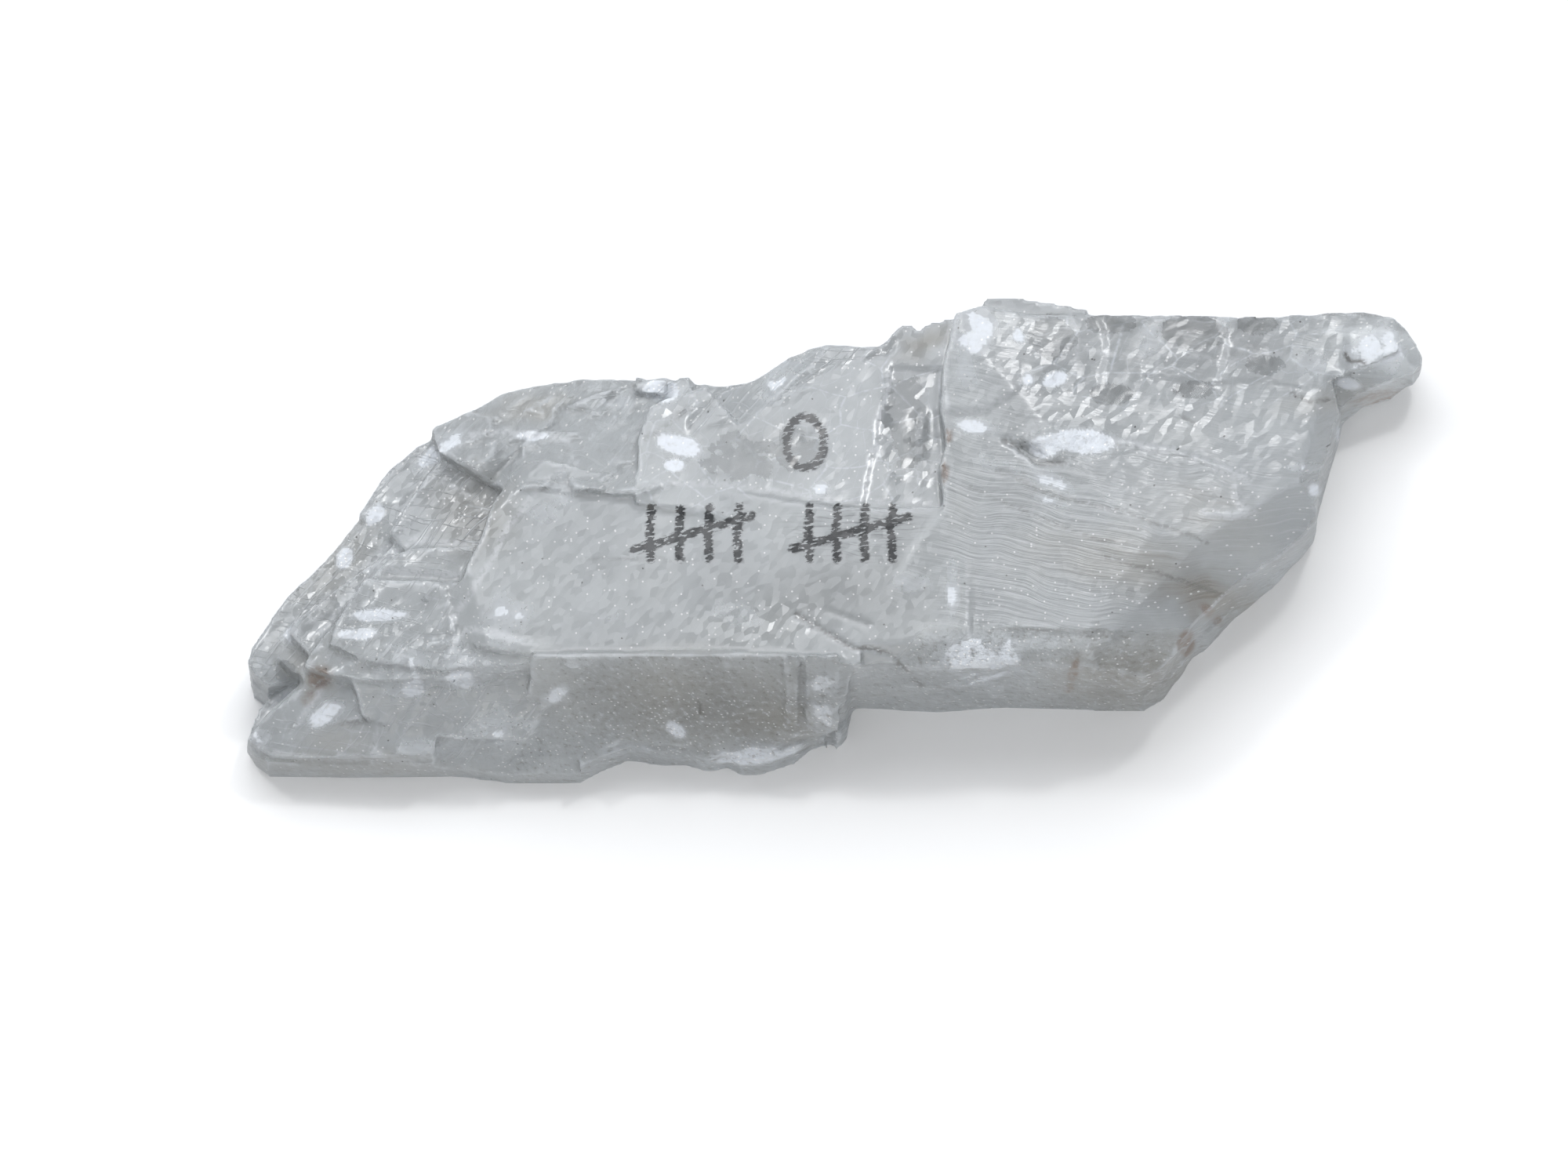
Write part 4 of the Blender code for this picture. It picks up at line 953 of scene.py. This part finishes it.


# The crystal: its finish
# Cloudy selenite with clear windows and frosted skin, part of that white being painted sheen. The three
# materials differ only in how much light passes, and share one pattern of veins, scratches, fibres, grain, dust
# and ink, with painted glints, painted highlights along ledge edges and painted shade in the creases.
class Bench:
    """Adds nodes to one tree and wires them as it goes."""

    def __init__(self, tree):
        self.tree = tree

    def node(self, kind, settings=None, **inputs):
        made = self.tree.nodes.new(kind)
        for key, value in (settings or {}).items():
            setattr(made, key, value)
        for name, value in inputs.items():
            self.feed(made.inputs[name.replace("_", " ")], value)
        return made

    def feed(self, socket, value):
        if isinstance(value, bpy.types.NodeSocket):
            self.tree.links.new(value, socket)
        else:
            socket.default_value = value

    def calc(self, operation, *values, clamp=False):
        made = self.tree.nodes.new("ShaderNodeMath")
        made.operation = operation
        made.use_clamp = clamp
        for socket, value in zip(made.inputs, values):
            self.feed(socket, value)
        return made.outputs[0]

    def product(self, *values):
        total = values[0]
        for value in values[1:]:
            total = self.calc("MULTIPLY", total, value)
        return total

    def vector(self, operation, first, second=None, scale=None):
        made = self.tree.nodes.new("ShaderNodeVectorMath")
        made.operation = operation
        self.feed(made.inputs[0], first)
        if second is not None:
            self.feed(made.inputs[1], second)
        if scale is not None:
            self.feed(made.inputs["Scale"], scale)
        return made.outputs[0]

    def ramp(self, value, low, high):
        return self.node(
            "ShaderNodeMapRange", {"interpolation_type": "SMOOTHSTEP"},
            Value=value, From_Min=low, From_Max=high,
        ).outputs["Result"]

    def blend(self, amount, first, second):
        made = self.tree.nodes.new("ShaderNodeMix")
        made.data_type = "RGBA"
        self.feed(made.inputs[0], amount)
        self.feed(made.inputs[6], first)
        self.feed(made.inputs[7], second)
        return made.outputs[2]

    def mask(self, name, output="Fac"):
        return self.node("ShaderNodeAttribute", {"attribute_name": name}).outputs[output]

    def turned(self, places, turn, along, across):
        return self.node(
            "ShaderNodeMapping", {"vector_type": "TEXTURE"}, Vector=places,
            Rotation=(0.0, 0.0, math.radians(turn)), Scale=(along, across, 1.0),
        ).outputs["Vector"]

    def noise(self, places, size=1.0, detail=2.0, roughness=0.5):
        return self.node(
            "ShaderNodeTexNoise", {"noise_dimensions": "2D"}, Vector=places,
            Scale=1.0 / size, Detail=detail, Roughness=roughness,
        ).outputs["Fac"]

    def cells(self, places, size=1.0, feature="F1"):
        return self.node(
            "ShaderNodeTexVoronoi", {"voronoi_dimensions": "2D", "feature": feature},
            Vector=places, Scale=1.0 / size,
        )


skin = bpy.data.node_groups.new("selenite_skin", "ShaderNodeTree")
for name, kind in (("Cloud", "Color"), ("Clear", "Color"), ("Frost and sheen", "Color")):
    skin.interface.new_socket(name, in_out="INPUT", socket_type="NodeSocket" + kind)
for name, kind in (("Colour", "Color"), ("Roughness", "Float"), ("Height", "Float"), ("Facets", "Vector")):
    skin.interface.new_socket(name, in_out="OUTPUT", socket_type="NodeSocket" + kind)
bench = Bench(skin)
given = bench.node("NodeGroupInput")
result = bench.node("NodeGroupOutput")
places = bench.mask("wrapped", "Vector")
bent_places = bench.mask("bent_wrapped", "Vector")

# Clouds and clear windows, darker and paler ground (painted shade on the front faces and painted sheen on the
# bright back slope among it), and brown tint
powder = bench.noise(places, 0.8)
grainy = bench.mask("grainy")
colour = bench.blend(bench.mask("cloud"), given.outputs["Cloud"], (0.60, 0.63, 0.645, 1.0))
colour = bench.blend(bench.product(bench.mask("clear"), 0.7), colour, given.outputs["Clear"])
colour = bench.vector("SCALE", colour, scale=bench.mask("tone_shade_and_sheen"))
brown = bench.vector("MULTIPLY", colour, (0.98, 0.90, 0.79))
colour = bench.blend(bench.mask("brown"), colour, brown)

# Pale veins of healed cracks in the windows and the recess
wide_cells = bench.cells(bench.turned(bent_places, 8.0, 8.0, 5.0), 1.0, "DISTANCE_TO_EDGE")
wide_veins = bench.ramp(wide_cells.outputs["Distance"], 0.040, 0.0)
fine_cells = bench.cells(bench.turned(bent_places, 60.0, 4.0, 2.0), 1.0, "DISTANCE_TO_EDGE")
fine_veins = bench.product(bench.ramp(fine_cells.outputs["Distance"], 0.035, 0.0), bench.mask("cloud"))
veins = bench.product(bench.calc("MAXIMUM", wide_veins, fine_veins), bench.mask("veined"))
colour = bench.blend(bench.product(veins, bench.ramp(powder, 0.2, 0.7)), colour, (0.76, 0.80, 0.84, 1.0))

# Scored lines along both cleavages
long_lines = bench.ramp(bench.noise(bench.turned(bent_places, 50.0, 16.0, 0.55), 1.0, 3.0), 0.58, 0.70)
cross_lines = bench.ramp(bench.noise(bench.turned(bent_places, -6.0, 12.0, 0.45), 1.0, 3.0), 0.62, 0.72)
scored = bench.product(bench.calc("MAXIMUM", long_lines, cross_lines), bench.mask("scored"))
colour = bench.blend(bench.product(scored, 0.7), colour, (0.78, 0.81, 0.83, 1.0))

# Fibres fanning out over the right half, pale and dark
fibre_wave = bench.noise(bench.turned(bent_places, -12.0, 14.0, 0.8), 1.0, 4.0, 0.6)
fibrous = bench.mask("fibrous")
dark_fibres = bench.product(bench.ramp(fibre_wave, 0.57, 0.74), fibrous, bench.mask("brown"))
pale_fibres = bench.product(bench.ramp(fibre_wave, 0.44, 0.30), fibrous)
colour = bench.blend(bench.product(dark_fibres, 0.75), colour, (0.24, 0.20, 0.16, 1.0))
colour = bench.blend(bench.product(pale_fibres, 0.40), colour, (0.72, 0.74, 0.76, 1.0))

# Frost, a powdery white skin, with painted sheen and glint patches laid on in the same white
frost_and_sheen_mask = bench.product(bench.mask("frost_and_sheen"), bench.ramp(powder, 0.05, 0.55))
colour = bench.blend(bench.product(frost_and_sheen_mask, 0.85), colour, given.outputs["Frost and sheen"])

# Crumbly grain on the broken ground
crumbs = bench.noise(places, 1.0, 3.0, 0.65)
pale_crumbs = bench.product(bench.ramp(crumbs, 0.55, 0.72), grainy, 0.6)
colour = bench.blend(pale_crumbs, colour, (0.74, 0.76, 0.79, 1.0))
dark_crumbs = bench.product(bench.ramp(crumbs, 0.44, 0.28), grainy, 0.5)
colour = bench.blend(dark_crumbs, colour, (0.22, 0.20, 0.175, 1.0))

# Arrises paler on convex edges and painted shade darkening the concave creases; pale lines, partly white ridges
# and partly painted highlights along ledge edges; and cracks
arris_and_crease_shade = bench.mask("arris_and_crease_shade")
colour = bench.blend(bench.product(bench.ramp(arris_and_crease_shade, 0.10, 0.9), 0.7), colour, (0.84, 0.87, 0.90, 1.0))
# Painted shade: darker where the surface folds inward
colour = bench.blend(bench.product(bench.ramp(arris_and_crease_shade, -0.15, -1.0), 0.25), colour, (0.26, 0.25, 0.24, 1.0))
# Pale lines: white ridges and painted ledge highlights
pale_and_highlight_line = bench.product(bench.mask("pale_and_highlight_line"), bench.ramp(powder, 0.25, 0.55))
colour = bench.blend(bench.product(pale_and_highlight_line, 0.8), colour, (0.88, 0.90, 0.93, 1.0))
dark_line = bench.product(bench.mask("dark_line"), bench.ramp(powder, 0.30, 0.50))
colour = bench.blend(bench.product(dark_line, 0.9), colour, (0.08, 0.065, 0.05, 1.0))

# Rust, dirt specks, and tiny white specks painted in as glints
rust = bench.product(bench.mask("rust"), bench.ramp(powder, 0.15, 0.55))
colour = bench.blend(bench.product(rust, 0.75), colour, (0.24, 0.14, 0.085, 1.0))


def specks(size, share, radius):
    """Tiny round dots in a share of the cells of the given size."""
    spread = bench.cells(places, size)
    chance = bench.node("ShaderNodeSeparateColor", Color=spread.outputs["Color"]).outputs[0]
    picked = bench.calc("LESS_THAN", chance, share)
    return bench.calc("MULTIPLY", picked, bench.calc("LESS_THAN", spread.outputs["Distance"], radius))


dirt = specks(3.1, 0.10, 0.045)
colour = bench.blend(bench.product(dirt, 0.8), colour, (0.06, 0.05, 0.045, 1.0))
glint = bench.mask("glint")
# Painted glints: pure white specks, denser under the glint touches
painted_glints = specks(0.85, bench.calc("MULTIPLY_ADD", glint, 0.32, 0.10), 0.17)
colour = bench.blend(bench.product(painted_glints, 0.95), colour, (1.0, 1.0, 1.0, 1.0))

# Pen ink, broken into flakes, with a rubbed grey smear
flakes = bench.noise(bench.turned(places, 12.0, 1.3, 0.42), 1.0, 3.0, 0.6)
pen_edge = bench.calc("MULTIPLY_ADD", flakes, 3.6, bench.calc("SUBTRACT", bench.mask("pen"), 1.62))
ink = bench.product(bench.ramp(pen_edge, 0.0, 0.25), bench.ramp(bench.mask("pen"), -0.35, 0.05))
colour = bench.blend(bench.product(ink, 0.97), colour, (0.010, 0.010, 0.012, 1.0))
smears = bench.noise(bench.turned(bent_places, 0.0, 5.0, 0.35), 1.0, 3.0, 0.6)
smudge = bench.product(bench.mask("smudge"), bench.ramp(smears, 0.48, 0.75))
colour = bench.blend(bench.product(smudge, 0.55), colour, (0.06, 0.06, 0.065, 1.0))

# How rough it is, how it stands up, and the facets that catch the light
roughness = bench.calc("MULTIPLY_ADD", frost_and_sheen_mask, 0.30, 0.22)
roughness = bench.calc("MULTIPLY_ADD", grainy, 0.20, roughness)
height = bench.calc("MULTIPLY", crumbs, grainy)
height = bench.calc("MULTIPLY_ADD", scored, 0.30, height)
height = bench.calc("MULTIPLY_ADD", bench.product(fibre_wave, fibrous), 0.6, height)
facet_tilt = bench.cells(bench.turned(places, 50.0, 1.5, 0.8)).outputs["Color"]
facet_tilt = bench.vector("SUBTRACT", facet_tilt, (0.5, 0.5, 0.5))
facet_tilt = bench.vector("SCALE", facet_tilt, scale=bench.calc("MULTIPLY_ADD", glint, 0.5, 0.10))
facets = bench.vector("ADD", facet_tilt, bench.node("ShaderNodeNewGeometry").outputs["Normal"])
facets = bench.vector("NORMALIZE", facets)

for name, value in (("Colour", colour), ("Roughness", roughness), ("Height", height), ("Facets", facets)):
    bench.tree.links.new(value, result.inputs[name])

# Finish: name, share of light let through, and the colours of cloud, clear and frosted ground; the frost colour
# also paints the sheen and glint patches
FINISHES = [
    ("cloudy_selenite", 0.60, (0.52, 0.54, 0.55, 1.0), (0.47, 0.49, 0.50, 1.0), (0.84, 0.88, 0.93, 1.0)),
    ("clear_selenite", 0.80, (0.60, 0.62, 0.63, 1.0), (0.56, 0.58, 0.585, 1.0), (0.84, 0.88, 0.92, 1.0)),
    ("frosted_and_sheen_selenite", 0.25, (0.46, 0.475, 0.485, 1.0), (0.42, 0.435, 0.44, 1.0), (0.76, 0.80, 0.86, 1.0)),
]
for name, let_through, cloud_colour, clear_colour, frost_and_sheen_colour in FINISHES:
    finish = bpy.data.materials.new(name)
    finish.use_nodes = True
    bench = Bench(finish.node_tree)
    pattern = bench.node("ShaderNodeGroup", {"node_tree": skin})
    pattern.inputs["Cloud"].default_value = cloud_colour
    pattern.inputs["Clear"].default_value = clear_colour
    pattern.inputs["Frost and sheen"].default_value = frost_and_sheen_colour
    shader = finish.node_tree.nodes["Principled BSDF"]
    shader.inputs["IOR"].default_value = 1.52
    shader.inputs["Transmission Weight"].default_value = let_through
    relief = bench.node(
        "ShaderNodeBump", Strength=1.0, Distance=0.35 * MM,
        Height=pattern.outputs["Height"], Normal=pattern.outputs["Facets"],
    )
    bench.feed(shader.inputs["Base Color"], pattern.outputs["Colour"])
    bench.feed(shader.inputs["Roughness"], pattern.outputs["Roughness"])
    bench.feed(shader.inputs["Normal"], relief.outputs["Normal"])
    crystal.data.materials.append(finish)

face_points = np.empty(len(crystal.data.polygons) * 3, dtype=np.int64)
crystal.data.polygons.foreach_get("vertices", face_points)
face_points = face_points.reshape(-1, 3)
clear_face = masks["clear"][face_points].mean(axis=1) > 0.5
frost_and_sheen_face = masks["frost_and_sheen"][face_points].mean(axis=1) > 0.6
kinds = np.where(frost_and_sheen_face, 2, np.where(clear_face, 1, 0))
crystal.data.polygons.foreach_set("material_index", kinds.astype(np.int32))
crystal.data.update()

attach(crystal, "root")
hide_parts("crystal")
